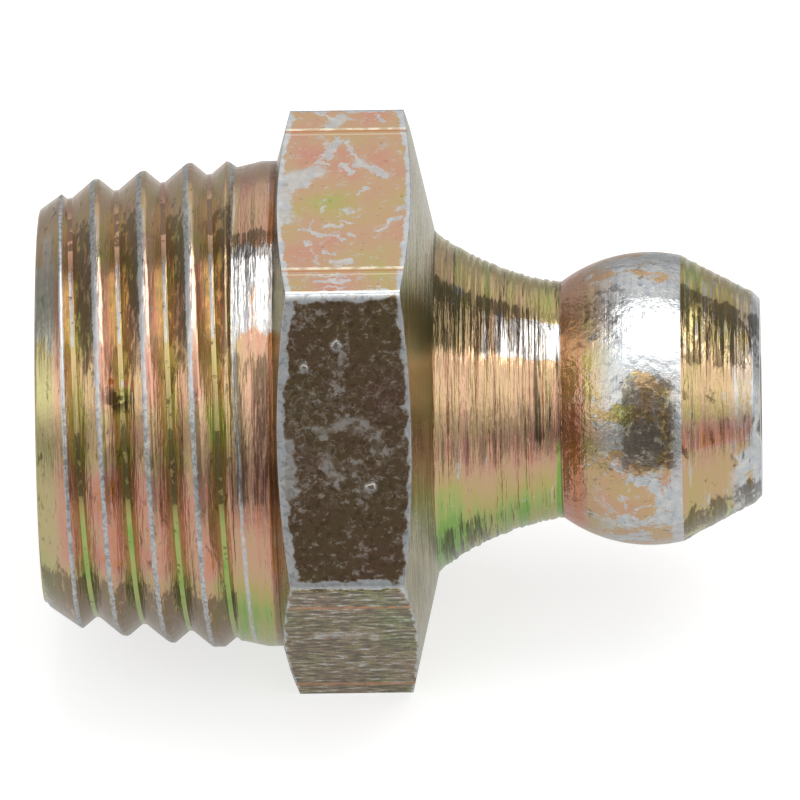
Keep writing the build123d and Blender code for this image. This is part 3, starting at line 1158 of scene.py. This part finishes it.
def end_finish(tree, at):
    """Faced end of the shank, round the passage."""
    rings = face_rings(tree, at, 5.0)
    hue = scaled(tree, grain(tree, at, 0.6, detail=4.0), 0.9, -0.08)
    hue = scaled(tree, rings, 0.3, total(tree, hue, -0.12))
    wear = product(tree, patches(tree, at, 2.2, 0.14, 7.0), 0.7)
    specks = product(tree, patches(tree, at, 3.4, 0.12, 3.0), 0.55)
    colour = chromate(tree, at, hue, wear, specks)
    return colour, blend(tree, rings, 0.18, 0.32), rings, 0.03


finish(body_finish["thread"], root_finish)
finish(body_finish["end_face"], end_finish)

# %% [markdown]
# ## The ball head and its nose
# The head has been gripped by many couplers. Its middle is rubbed to silver-blue zinc in large ragged
# patches, most of all where it faces up into the highlight, which is a painted highlight. Film is left
# between them, with dark dirt in the pits, a dark patch below the middle that is dirt and painted shade, and
# gold to rust film in the corner beside the neck. The nose cone is turned, so it shows rings again, and its
# tip is worn bright. Dark scores on its upper side, in a band in front and underneath are painted shade.

# %% Finish of the head


def head_finish(tree, at):
    """Ball of the head."""
    neck_edge = scaled(tree, grain(tree, at, 3.0, detail=4.0, offset=3.0), 0.3, at["x"])
    beside_neck = ramp(tree, neck_edge, neck_end_x + 0.52, neck_end_x + 0.72, 1.0, 0.0)
    middle = ramp(tree, at["x"], neck_end_x + 0.5, neck_end_x + 1.3)
    last_ring = band(tree, at["x"], nose_x - 0.22, nose_x + 0.2, 0.05)
    # Painted highlight: the rubbed zinc gathers where the ball faces up into the highlight.
    highlight_rub_gather = band(tree, at["turn"], 54.0, 86.0, 8.0)
    rubbed = most(
        tree,
        product(tree, patches(tree, at, 1.3, 0.5, 21.0, more=highlight_rub_gather), middle),
        product(tree, last_ring, patches(tree, at, 3.0, 0.85, 1.0), 0.9),
        product(tree, patches(tree, at, 2.6, 0.3, 2.0), 0.8),
    )
    # A dark patch below the ball's middle keeps its film and gathers pits. It is dirt, and painted shade of
    # the dark front that it reflects. More pits also gather in a band beside the neck.
    dirt_and_shade_patch = product(tree, band(tree, at["x"], 7.45, 8.35, 0.2), band(tree, at["turn"], 13.0, 42.0, 8.0))
    kept = most(tree, product(tree, beside_neck, 0.85), product(tree, dirt_and_shade_patch, 0.5))
    rubbed = product(tree, rubbed, inverse(tree, kept))
    above = product(tree, band(tree, at["x"], 6.6, 7.3, 0.2), band(tree, at["turn"], 64.0, 88.0, 6.0))
    pits = patches(tree, at, 4.5, 0.2, 5.0, sharp=0.1, more=most(tree, dirt_and_shade_patch, product(tree, above, 0.45)))
    dirt = product(tree, pits, scaled(tree, dirt_and_shade_patch, 0.11, 0.5))
    drift = scaled(tree, grain(tree, at, 1.4, detail=4.0), 0.9, 0.08)
    stripes = scaled(tree, rings_of_tool(tree, at, 6.0), 0.5, 0.08)
    lower = ramp(tree, at["turn"], 10.0, 62.0, 0.5, 0.34)
    tan = product(tree, band(tree, at["x"], 6.6, 7.5, 0.2), band(tree, at["turn"], 20.0, 56.0, 8.0), -0.16)
    hue = blend(tree, beside_neck, total(tree, drift, tan), total(tree, stripes, lower))
    colour = chromate(tree, at, hue, rubbed, dirt)
    roughness = blend(tree, grain(tree, at, 3.0, detail=3.0), 0.13, 0.33)
    dents = grain(tree, at, 3.0, detail=4.0, roughness=0.6, offset=1.0)
    height = scaled(tree, dents, 0.8, product(tree, rings_of_tool(tree, at, 8.0), 0.25))
    return colour, roughness, height, 0.055


finish(body_finish["head"], head_finish)

# %% Finish of the nose, the tip and the passage


def nose_finish(tree, at):
    """Nose cone in front of the ball."""
    near_tip = ramp(tree, at["x"], tip_x - 0.8, tip_x - 0.4)
    near_tip = product(tree, near_tip, ramp(tree, at["turn"], 6.0, 22.0, 1.0, 0.3))
    rim_edge = scaled(tree, grain(tree, at, 4.0, detail=4.0), 0.3, at["x"])
    rim = ramp(tree, rim_edge, tip_x - 0.06, tip_x)
    rubbed = most(
        tree,
        rim,
        product(tree, patches(tree, at, 1.8, 0.6, 8.0, (1.0, 0.6, 0.6)), near_tip),
        product(tree, scores(tree, at, 5.5, 0.3, 12.0, 0.09), 0.7),
    )
    # Painted shade: dark scores gather on the upper side, where the cone turns the highlight away, in the
    # dark band in front and on the underside.
    upper = band(tree, at["turn"], 57.0, 88.0, 7.0)
    low = band(tree, at["turn"], 18.0, 27.0, 4.0)
    underside_shade = ramp(tree, at["turn"], -20.0, -8.0, 0.9, 0.0)
    score_and_shade_gather = most(tree, upper, product(tree, low, 0.3), underside_shade)
    dirt = product(tree, scores(tree, at, 4.0, 0.18, 3.0, 0.35, 0.1, more=score_and_shade_gather), 0.7)
    rust = product(tree, low, 0.25)
    hue = total(tree, turned_hue(tree, at, 0.6, -0.1, -60.0, -10.0, 0.42), rust)
    colour = chromate(tree, at, hue, rubbed, dirt)
    roughness = blend(tree, grain(tree, at, 4.0, detail=2.0), 0.15, 0.3)
    return colour, roughness, turned_bump(tree, at), 0.07


def tip_finish(tree, at):
    """Flat tip round the inlet, worn nearly bare."""
    film_left = patches(tree, at, 1.5, 0.35, 6.0)
    wear = inverse(tree, film_left)
    hue = scaled(tree, grain(tree, at, 1.5), 0.6, 0.15)
    dirt = product(tree, patches(tree, at, 3.0, 0.3, 9.0), 0.45)
    colour = chromate(tree, at, hue, wear, dirt)
    return colour, blend(tree, film_left, 0.34, 0.24), grain(tree, at, 6.0, detail=4.0), 0.02


def passage_finish(tree, at):
    """Drilled bore, which the plating reached thinly."""
    hue = scaled(tree, grain(tree, at, 1.0), 0.5, 0.2)
    dirt = blend(tree, grain(tree, at, 2.0, detail=4.0), 0.25, 0.8)
    colour = chromate(tree, at, hue, patches(tree, at, 1.2, 0.3, 4.0), dirt)
    return colour, blend(tree, grain(tree, at, 3.0), 0.3, 0.5), rings_of_tool(tree, at, 5.0), 0.03


finish(body_finish["nose"], nose_finish)
finish(body_finish["tip"], tip_finish)
finish(body_finish["passage"], passage_finish)

# %% [markdown]
# ## The hexagon
# The six flats are the skin of drawn bar: smooth, with lines along it from the die, one near each long edge.
# Spanners and other nipples in the box have rubbed bright strokes into the film. A stroke is a distance to a
# short line, fed with a place that noise has pushed about, so that its edge is ragged. The mesh carries each
# point's place on its flat, so a stroke stays on the flat that it was made for. Each stroke's mask is folded
# into the largest so far at once, because a renderer can hold only a few hundred numbers for one finish.

# %% A rubbed stroke


def rubbed_stroke(tree, place, start, end, width):
    """Mask of a stroke on a flat: 1 within half its width of the line from start to end."""
    along = Vector(end) - Vector(start)
    away = vector_calc(tree, "SUBTRACT", place, start)
    done = vector_calc(tree, "DOT_PRODUCT", away, along / along.dot(along), output=1)
    step = calc(tree, "MULTIPLY", done, 1.0, clamp=True)
    aside = vector_calc(tree, "DISTANCE", away, times_vector(tree, along, step), output=1)
    return ramp(tree, aside, 0.3 * width, 0.7 * width, 1.0, 0.0)


def rubbed_strokes(tree, place, flats):
    """Largest mask of each flat's strokes (x, up, x, up, width), in millimetres."""
    largest = None
    for flat, lines in flats.items():
        for x0, up0, x1, up1, width in lines:
            start = (x0, up0, flat * flat_step)
            mask = rubbed_stroke(tree, place, start, (x1, up1, flat * flat_step), width)
            largest = most(tree, largest, mask) if largest else mask
    return largest


print("flats are %d apart in the noise" % flat_step)

# %% Strokes on the flats
top_flat, front_flat, lower_flat = 1, 2, 3
strokes = {
    top_flat: [
        # the wide rub that comes in from the rear edge
        (0.22, 0.5, 0.3, -0.62, 0.3),
        (0.2, 0.75, 0.9, 1.0, 0.42),
        (0.2, 0.4, 0.62, 0.62, 0.36),
        # the fork above its middle
        (1.36, 2.12, 1.17, 1.48, 0.16),
        (1.19, 1.72, 0.90, 1.36, 0.1),
        (0.90, 1.36, 1.13, 1.26, 0.1),
        (1.09, 1.97, 1.19, 1.67, 0.1),
        (1.52, 2.02, 1.82, 1.26, 0.12),
        (1.82, 1.26, 2.11, 1.09, 0.26),
        (2.11, 1.09, 2.39, 0.84, 0.2),
        (1.49, 1.23, 1.65, 0.96, 0.16),
        (1.98, 0.46, 1.82, 0.19, 0.1),
        # small dashes and a curled scratch below it
        (1.09, -0.86, 1.46, -0.87, 0.1),
        (1.47, -0.69, 1.67, -0.76, 0.08),
        (0.59, -0.95, 0.83, -0.99, 0.07),
        (0.83, -0.99, 0.94, -1.17, 0.07),
        (0.94, -1.17, 1.34, -1.20, 0.09),
        (1.34, -1.20, 1.55, -1.32, 0.08),
        (0.80, -0.96, 0.85, -0.63, 0.04),
        (0.73, -1.39, 0.78, -1.50, 0.12),
        (0.84, -1.65, 0.99, -2.17, 0.05),
        (1.10, -1.79, 1.34, -1.82, 0.07),
        (1.35, -2.10, 1.68, -2.09, 0.16),
        (1.65, -1.16, 1.72, -1.21, 0.12),
        (1.58, -0.31, 1.66, -0.39, 0.14),
        (1.02, -0.38, 1.07, -0.22, 0.1),
        # nicks at the front edge, and rubs between the drawn lines and the long edges
        (2.65, -0.33, 2.90, -0.16, 0.14),
        (2.50, -0.76, 2.69, -0.60, 0.14),
        (2.26, -0.99, 2.44, -0.86, 0.1),
        (1.15, 2.54, 1.44, 2.89, 0.26),
        (0.98, 3.00, 1.23, 2.84, 0.08),
        (2.19, 2.97, 2.31, 2.71, 0.08),
        (0.92, -2.55, 1.61, -2.57, 0.06),
        (0.94, -2.76, 1.63, -2.74, 0.13),
        (1.20, -2.96, 1.59, -2.97, 0.07),
    ],
    front_flat: [
        # the worn rear edge, and a nick at the other edge
        (0.28, -0.05, 0.32, -1.07, 0.34),
        (2.80, 0.72, 2.88, 0.59, 0.16),
    ],
}
soft_rubs = {
    front_flat: [
        (0.99, 0.21, 1.77, 0.42, 0.28),
        (1.09, -0.35, 1.35, -0.81, 0.3),
        (1.66, -0.56, 1.86, -0.97, 0.3),
        (1.36, 0.98, 1.51, 1.91, 0.16),
        (1.87, 0.47, 2.38, -0.25, 0.26),
    ],
    lower_flat: [(0.97, 0.52, 1.98, 0.35, 0.4)],
}
front_place = front_flat * flat_step
pressed_spots = [
    ((1.37, 2.06, front_place), 0.13),
    ((0.68, 1.6, front_place), 0.11),
    ((2.06, -0.98, front_place), 0.13),
]
print("strokes", sum(len(lines) for flats in (strokes, soft_rubs) for lines in flats.values()))

# %% Places and masks on a flat


def on_flat(tree, place, number):
    """Mask of one flat."""
    count = product(tree, add(tree, "ShaderNodeSeparateXYZ", {0: place}, output=2), 1 / flat_step)
    return calc(tree, "COMPARE", count, number, 0.4)


def flat_place(tree):
    """Where a point is on its flat: its place, how far from a rim, how far up, and a mask of each flat."""
    place = carried(tree, "face_place", output=1)
    on = {"P": place, "rim": carried(tree, "rim_mm")}
    on["up"] = add(tree, "ShaderNodeSeparateXYZ", {0: place}, output=1)
    on["top"] = on_flat(tree, place, top_flat)
    on["front"] = on_flat(tree, place, front_flat)
    on["lower"] = on_flat(tree, place, lower_flat)
    return on


def drawn_line(tree, up, place, half_width):
    """Mask of a line along a flat."""
    return ramp(tree, gap(tree, up, place), half_width * 0.6, half_width, 1.0, 0.0)


def pushed(tree, place, scale, reach):
    """A place on a flat, pushed about by noise, so that what is drawn with it has ragged edges."""
    noise_at = {"Vector": place, "Scale": scale, "Detail": 4.0, "Roughness": 0.65}
    push = add(tree, "ShaderNodeTexNoise", noise_at, output=1)
    push = vector_calc(tree, "SUBTRACT", push, (0.5, 0.5, 0.5))
    push = vector_calc(tree, "MULTIPLY", push, (reach, reach, 0.0))
    return vector_calc(tree, "ADD", place, push)


print("flats told apart:", top_flat, front_flat, lower_flat)

# %% [markdown]
# ## What the flats are made of
# The wear is the largest of the rubbed strokes, small flecks and fibres, dashes along the die's lines and a
# rubbed band at each rim. Under it the film drifts and has dark specks in it. Painted shade in the soot
# colour darkens the front and lower flats, darkest on the front flat. The drawn lines and the three small
# pressed spots come last, on top of both. On the top flat the lines are painted highlights, each with an
# orange line of painted shade beside it.

# %% Wear of the flats


def flat_wear(tree, at, on):
    """Where a flat is rubbed, and the patchy and the drawn noise, which its film and its lines use again."""
    top, front, lower = on["top"], on["front"], on["lower"]
    ragged = pushed(tree, on["P"], 4.5, 0.45)
    mottled = grain(tree, on, 5.0, detail=3.0, offset=9.0)
    mottled = calc(tree, "MULTIPLY_ADD", mottled, 0.9, 0.36, clamp=True)
    patchy = scaled(tree, ramp(tree, grain(tree, on, 4.0, offset=5.0), 0.4, 0.58), 0.65, 0.3)
    dense = product(tree, front, band(tree, on["up"], -1.1, 1.4, 0.6))
    denser = scaled(tree, front, 0.34, product(tree, top, 0.2))
    flecks = patches(tree, on, 6.2, 0.14, 2.0, (0.9, 1.1, 1.0), 0.14, more=denser)
    fibres = gap(tree, grain(tree, on, 3.4, detail=3.0, offset=6.0), 0.5)
    fibres = product(tree, ramp(tree, fibres, 0.0, 0.05, 0.26, 0.0), dense)
    drawn = grain(tree, on, 3.4, (0.8, 2.6, 1.0), 5.0, 0.65, 3.0)
    dashes = product(tree, ramp(tree, drawn, 0.57, 0.62, 0.0, 0.95), lower)
    rim_edge = scaled(tree, grain(tree, on, 2.4, detail=5.0, roughness=0.6), 0.4, -0.08)
    rim_edge = scaled(tree, lower, -0.08, rim_edge)
    rim_edge = scaled(tree, front, ramp(tree, at["x"], 2.3, 2.8, 0.06, -0.03), rim_edge)
    rim_wear = ramp(tree, less(tree, rim_edge, on["rim"]), -0.02, 0.04)
    worn = most(
        tree,
        product(tree, rubbed_strokes(tree, ragged, strokes), mottled),
        product(tree, rubbed_strokes(tree, pushed(tree, on["P"], 3.0, 0.9), soft_rubs), patchy, 0.72),
        product(tree, flecks, 0.6),
        fibres,
        dashes,
        rim_wear,
    )
    return worn, patchy, drawn


print("wear of the flats defined")

# %% Film, soot and lines of the flats
olive_place = (0.89, -0.12, top_flat * flat_step)
corner_place = (0.53, 2.96, top_flat * flat_step)
orange_colour = srgb(196, 130, 76)
line_highlight_colour = srgb(252, 240, 212)


def flat_film(tree, at, on, worn, drawn):
    """Colour of a flat: the drifting film, bare where it is worn, with painted shade and dark specks in the
    soot colour over what is left.
    """
    front, lower = on["front"], on["lower"]
    olive = round_spot(tree, pushed(tree, on["P"], 1.6, 1.2), olive_place, 0.45, 0.35)
    corner = round_spot(tree, pushed(tree, on["P"], 1.6, 1.2), corner_place, 0.45, 0.35)
    drift = grain(tree, on, 0.7, detail=4.0, roughness=0.5, offset=1.3)
    spread = scaled(tree, front, -0.6, 1.2)
    hue = scaled(tree, less(tree, drift, 0.5), spread, 0.54)
    hue = scaled(tree, most(tree, olive, corner), -0.1, hue)
    hue = scaled(tree, lower, -0.14, hue)
    colour = chromate(tree, at, hue, worn, 0.0)
    # Painted shade: the soot colour darkens the front flat, which faces the dark front, and, in dashes, the
    # lower flat, which faces the bench.
    shade = product(tree, inverse(tree, worn), 0.66)
    dashed = product(tree, ramp(tree, drawn, 0.5, 0.44, 0.86, 1.36), lower)
    shade = product(tree, shade, total(tree, dashed, front))
    colour = mix_colour(tree, shade, colour, soot_and_shade_colour)
    specks = patches(tree, on, 6.0, 0.16, 7.0, sharp=0.08, more=product(tree, front, 0.4))
    return mix_colour(tree, product(tree, specks, 0.35), colour, soot_and_shade_colour)


def with_lines(tree, on, patchy, colour):
    """Colour with the die's lines: painted highlights and orange painted shade on the top flat, orange ones
    on the lower.
    """
    up = on["up"]
    # Painted highlights: the bright die lines on the top flat, where they catch the light. The orange lines
    # beside them there are their painted shade.
    line_highlight = most(tree, drawn_line(tree, up, 2.47, 0.045), drawn_line(tree, up, -2.31, 0.05))
    faint_line_highlight = most(tree, drawn_line(tree, up, 2.29, 0.025), drawn_line(tree, up, -2.52, 0.03))
    bright = most(tree, product(tree, line_highlight, patchy), product(tree, faint_line_highlight, 0.35))
    orange = most(tree, drawn_line(tree, up, 2.4, 0.04), drawn_line(tree, up, -2.4, 0.03))
    low_orange = most(tree, drawn_line(tree, up, 2.08, 0.08), drawn_line(tree, up, -2.51, 0.1))
    low_orange = product(tree, low_orange, on["lower"], patchy, 0.85)
    orange = most(tree, product(tree, orange, product(tree, on["top"], 0.7)), low_orange)
    colour = mix_colour(tree, orange, colour, orange_colour)
    return mix_colour(tree, product(tree, bright, on["top"]), colour, line_highlight_colour)


print("bright lines", tuple(round(value, 3) for value in line_highlight_colour))

# %% Finish of the flats and the bevels


def flat_finish(tree, at):
    """Flats of the hexagon."""
    on = flat_place(tree)
    worn, patchy, drawn = flat_wear(tree, at, on)
    colour = with_lines(tree, on, patchy, flat_film(tree, at, on, worn, drawn))

    uneven = pushed(tree, on["P"], 5.0, 0.22)
    spots = [round_spot(tree, uneven, centre, radius, 0.035) for centre, radius in pressed_spots]
    inner = [round_spot(tree, uneven, centre, radius - 0.06, 0.03) for centre, radius in pressed_spots]
    pressed = less(tree, most(tree, *spots), product(tree, most(tree, *inner), 0.6))
    colour = mix_colour(tree, product(tree, pressed, 0.7), colour, zinc_tints[1][1])

    roughness = blend(tree, worn, 0.19, 0.4)
    skin = grain(tree, on, 4.0, (0.25, 1.0, 1.0), detail=4.0, roughness=0.6, offset=4.0)
    dents = grain(tree, on, 2.4, detail=4.0, roughness=0.6)
    height = scaled(tree, skin, 0.12, product(tree, dents, 0.25))
    height = scaled(tree, most(tree, *inner), -0.35, height)
    return colour, roughness, height, 0.03


def bevel_finish(tree, at):
    """Turned bevels at both ends of the hexagon."""
    rim = carried(tree, "rim_mm")
    arcs = face_rings(tree, at, 7.0)
    rim_edge = scaled(tree, grain(tree, at, 3.0, detail=5.0, roughness=0.65), 0.42, -0.12)
    rim_wear = ramp(tree, less(tree, rim_edge, rim), -0.02, 0.04)
    brushed = ramp(tree, arcs, 0.44, 0.58)
    # Painted highlights: the brushed arcs are rubbed bright on the upper side and low in front.
    high = ramp(tree, at["turn"], 64.0, 74.0, 0.0, 0.5)
    low = ramp(tree, at["turn"], 26.0, 38.0, 0.3, 0.0)
    # Painted shade: a band in front is darkened, tinted olive and keeps less bare zinc.
    olive = band(tree, at["turn"], 36.0, 63.0, 6.0)
    bare = product(tree, patches(tree, at, 1.6, 0.2, 14.0), scaled(tree, olive, -0.6, 0.8))
    worn = most(tree, rim_wear, product(tree, brushed, most(tree, high, low)), bare)
    hue = scaled(tree, grain(tree, at, 0.7, detail=3.0), 0.6, product(tree, olive, -0.12))
    dirt = scaled(tree, ramp(tree, arcs, 0.56, 0.42), 0.4, 0.13)
    dirt = most(tree, dirt, product(tree, olive, 0.42))
    colour = chromate(tree, at, hue, worn, dirt)
    return colour, blend(tree, worn, 0.22, 0.36), arcs, 0.03


finish(body_finish["hexagon"], flat_finish)
finish(body_finish["bevel"], bevel_finish)

# %% [markdown]
# ## The ball and the spring
# The ball is ground and polished steel with a faint haze, and the spring is drawn wire, dull from its die.
# Both get a slow mottle, because no real steel is one even grey.

# %% Finish of the ball and the spring


def wire_finish(tree, at):
    """Drawn spring wire."""
    scale = grain(tree, at, 6.0, detail=3.0)
    colour = tint(tree, scale, [(0.3, srgb(120, 118, 116)), (0.7, srgb(168, 166, 162))])
    return colour, blend(tree, scale, 0.28, 0.42), scale, 0.005


def ball_finish(tree, at):
    """Ground bearing steel."""
    haze = grain(tree, at, 3.0, detail=4.0)
    colour = tint(tree, haze, [(0.35, srgb(176, 178, 180)), (0.7, srgb(206, 207, 208))])
    return colour, blend(tree, haze, 0.1, 0.2), haze, 0.002


finish(wire_metal, wire_finish)
finish(ball_metal, ball_finish)
print("materials", len(bpy.data.materials))

# %% [markdown]
# ## Studio
# Bright metal shows little of its own: it shows the room. So the room is built with care. One wide softbox
# hangs above and a little behind, for the long highlight. The room itself is bright ahead of the softbox,
# dims towards the front horizon, which draws the dark band below the highlight, and is dark high up at the
# sides, where a sloping surface would otherwise catch light everywhere. Below its horizon it is white, as the
# floor is, which keeps a soft shadow.

# %% Floor
scene = bpy.context.scene
scene.view_settings.view_transform = "Standard"
floor_z = cad_low.z / MM
floor_half = 2500.0


def sheet(name, height):
    """A wide level sheet for the studio, with an empty node material."""
    corners = ((-1, -1), (1, -1), (1, 1), (-1, 1))
    points = [(x * floor_half * MM, y * floor_half * MM, height * MM) for x, y in corners]
    mesh = bpy.data.meshes.new(name)
    mesh.from_pydata(points, [], [(0, 1, 2, 3)])
    made = bpy.data.objects.new(name, mesh)
    scene.collection.objects.link(made)
    paper = bpy.data.materials.new(name)
    paper.use_nodes = True
    paper.node_tree.nodes.clear()
    mesh.materials.append(paper)
    return made, paper.node_tree


def surface_of(tree, shader):
    """Links a shader to a new material output."""
    tree.links.new(shader, tree.nodes.new("ShaderNodeOutputMaterial").inputs["Surface"])


floor_grey = (0.42, 0.42, 0.42, 1.0)
floor_glow = 0.7
tree = sheet("floor", floor_z)[1]
paper = add(tree, "ShaderNodeBsdfDiffuse", {"Color": floor_grey})
path = tree.nodes.new("ShaderNodeLightPath")
seen = total(tree, path.outputs["Is Camera Ray"], path.outputs["Is Glossy Ray"])
seen = calc(tree, "ADD", seen, path.outputs["Is Transmission Ray"], clamp=True)
glow = add(tree, "ShaderNodeEmission", {"Strength": product(tree, seen, floor_glow)})
surface_of(tree, add(tree, "ShaderNodeAddShader", {0: paper, 1: glow}))
print("floor at z %.2f mm" % floor_z)

# %% Room
room = bpy.data.worlds.new("room")
room.use_nodes = True
tree = room.node_tree
toward = tree.nodes.new("ShaderNodeSeparateXYZ")
tree.links.new(tree.nodes.new("ShaderNodeTexCoord").outputs["Generated"], toward.inputs[0])
over = calc(tree, "ARCTAN2", toward.outputs["Z"], product(tree, toward.outputs["Y"], -1.0))
over = calc(tree, "DIVIDE", over, math.pi)
aside = ramp(tree, calc(tree, "ABSOLUTE", toward.outputs["X"]), 0.12, 0.62)


def brightness(stops):
    """Grey ramp over the ceiling, from (degrees above the front horizon, brightness) pairs."""
    return tint(tree, over, [(degrees / 180, (level, level, level)) for degrees, level in stops])


in_line = brightness(
    [(0, 0.2), (13, 0.23), (24, 0.33), (36, 0.5), (47, 0.75), (59, 1.06), (68, 1.44), (76, 1.1), (80, 1.0)]
    + [(110, 1.0), (115, 0.38), (124, 0.4), (132, 0.95), (150, 0.95), (168, 0.75), (176, 0.38)]
)
to_sides = brightness(
    [(0, 0.5), (10, 0.62), (23, 0.95), (36, 1.3), (50, 1.6), (65, 1.55), (77, 1.25), (95, 1.0)]
    + [(108, 0.52), (124, 0.3), (150, 0.36), (165, 0.46), (178, 0.54)]
)
below = calc(tree, "LESS_THAN", toward.outputs["Z"], 0.0)
room_colour = mix_colour(tree, below, mix_colour(tree, aside, in_line, to_sides), (1.0, 1.0, 1.0))
tree.links.new(room_colour, tree.nodes["Background"].inputs["Color"])
scene.world = room
print("room over", len(tree.nodes), "nodes")

# %% Softbox
box_centre = Vector((31.5, 10.0, 80.0))
softbox = bpy.data.lights.new("softbox", "AREA")
softbox.shape = "RECTANGLE"
softbox.size = 97.0 * MM
softbox.size_y = 65.0 * MM
box_radiance = 2.4
softbox.energy = box_radiance * math.pi * softbox.size * softbox.size_y
lamp = bpy.data.objects.new("softbox", softbox)
lamp.location = box_centre * MM
scene.collection.objects.link(lamp)
print("softbox %.4f W" % softbox.energy)

# %% [markdown]
# ## What the underside reflects
# The bench under the part is grey to reflections, paler beside the part and dark far off on both sides. A
# second sheet does that, as painted shade that stands in for the bench's shade under the part and its dark
# far sides: only reflections see it, so the floor stays white.

# %% Grey paper
paper_height = 0.05
reflected_shade_grey = (0.03, 0.03, 0.03, 1.0)
shade_beside_part = 0.3
# Painted shade for reflections: this dark sheet stands in for the bench's shade under the part and its dark
# far sides.
reflected_shade_sheet, tree = sheet("reflected_shade_sheet", floor_z + paper_height)
at = places(tree)
far_front = ramp(tree, at["y"], -34.0, -13.0, 0.38, 0.0)
far_back = ramp(tree, at["y"], 12.0, 30.0, 0.0, 0.33)
darkness = total(tree, far_front, far_back, shade_beside_part)
paper = add(tree, "ShaderNodeBsdfDiffuse", {"Color": reflected_shade_grey})
clear = add(tree, "ShaderNodeBsdfTransparent")
surface_of(tree, add(tree, "ShaderNodeMixShader", {0: darkness, 1: clear, 2: paper}))
reflected_shade_sheet.visible_camera = False
reflected_shade_sheet.visible_diffuse = False
reflected_shade_sheet.visible_shadow = False
reflected_shade_sheet.visible_transmission = False
print("grey paper at z %.2f mm" % (reflected_shade_sheet.data.vertices[0].co.z / MM))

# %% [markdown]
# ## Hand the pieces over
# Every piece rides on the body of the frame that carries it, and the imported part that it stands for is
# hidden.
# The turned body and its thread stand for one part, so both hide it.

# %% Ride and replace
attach(body, "body")
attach(thread, "body")
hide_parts("nipple_body")
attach(spring, "body")
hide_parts("check_spring")
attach(ball, "ball")
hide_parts("check_ball")
print("handed over", [piece.name for piece in (body, thread, spring, ball)])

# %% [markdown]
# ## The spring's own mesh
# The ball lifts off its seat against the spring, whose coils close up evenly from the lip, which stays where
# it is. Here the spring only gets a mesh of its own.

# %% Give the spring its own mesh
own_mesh(spring)
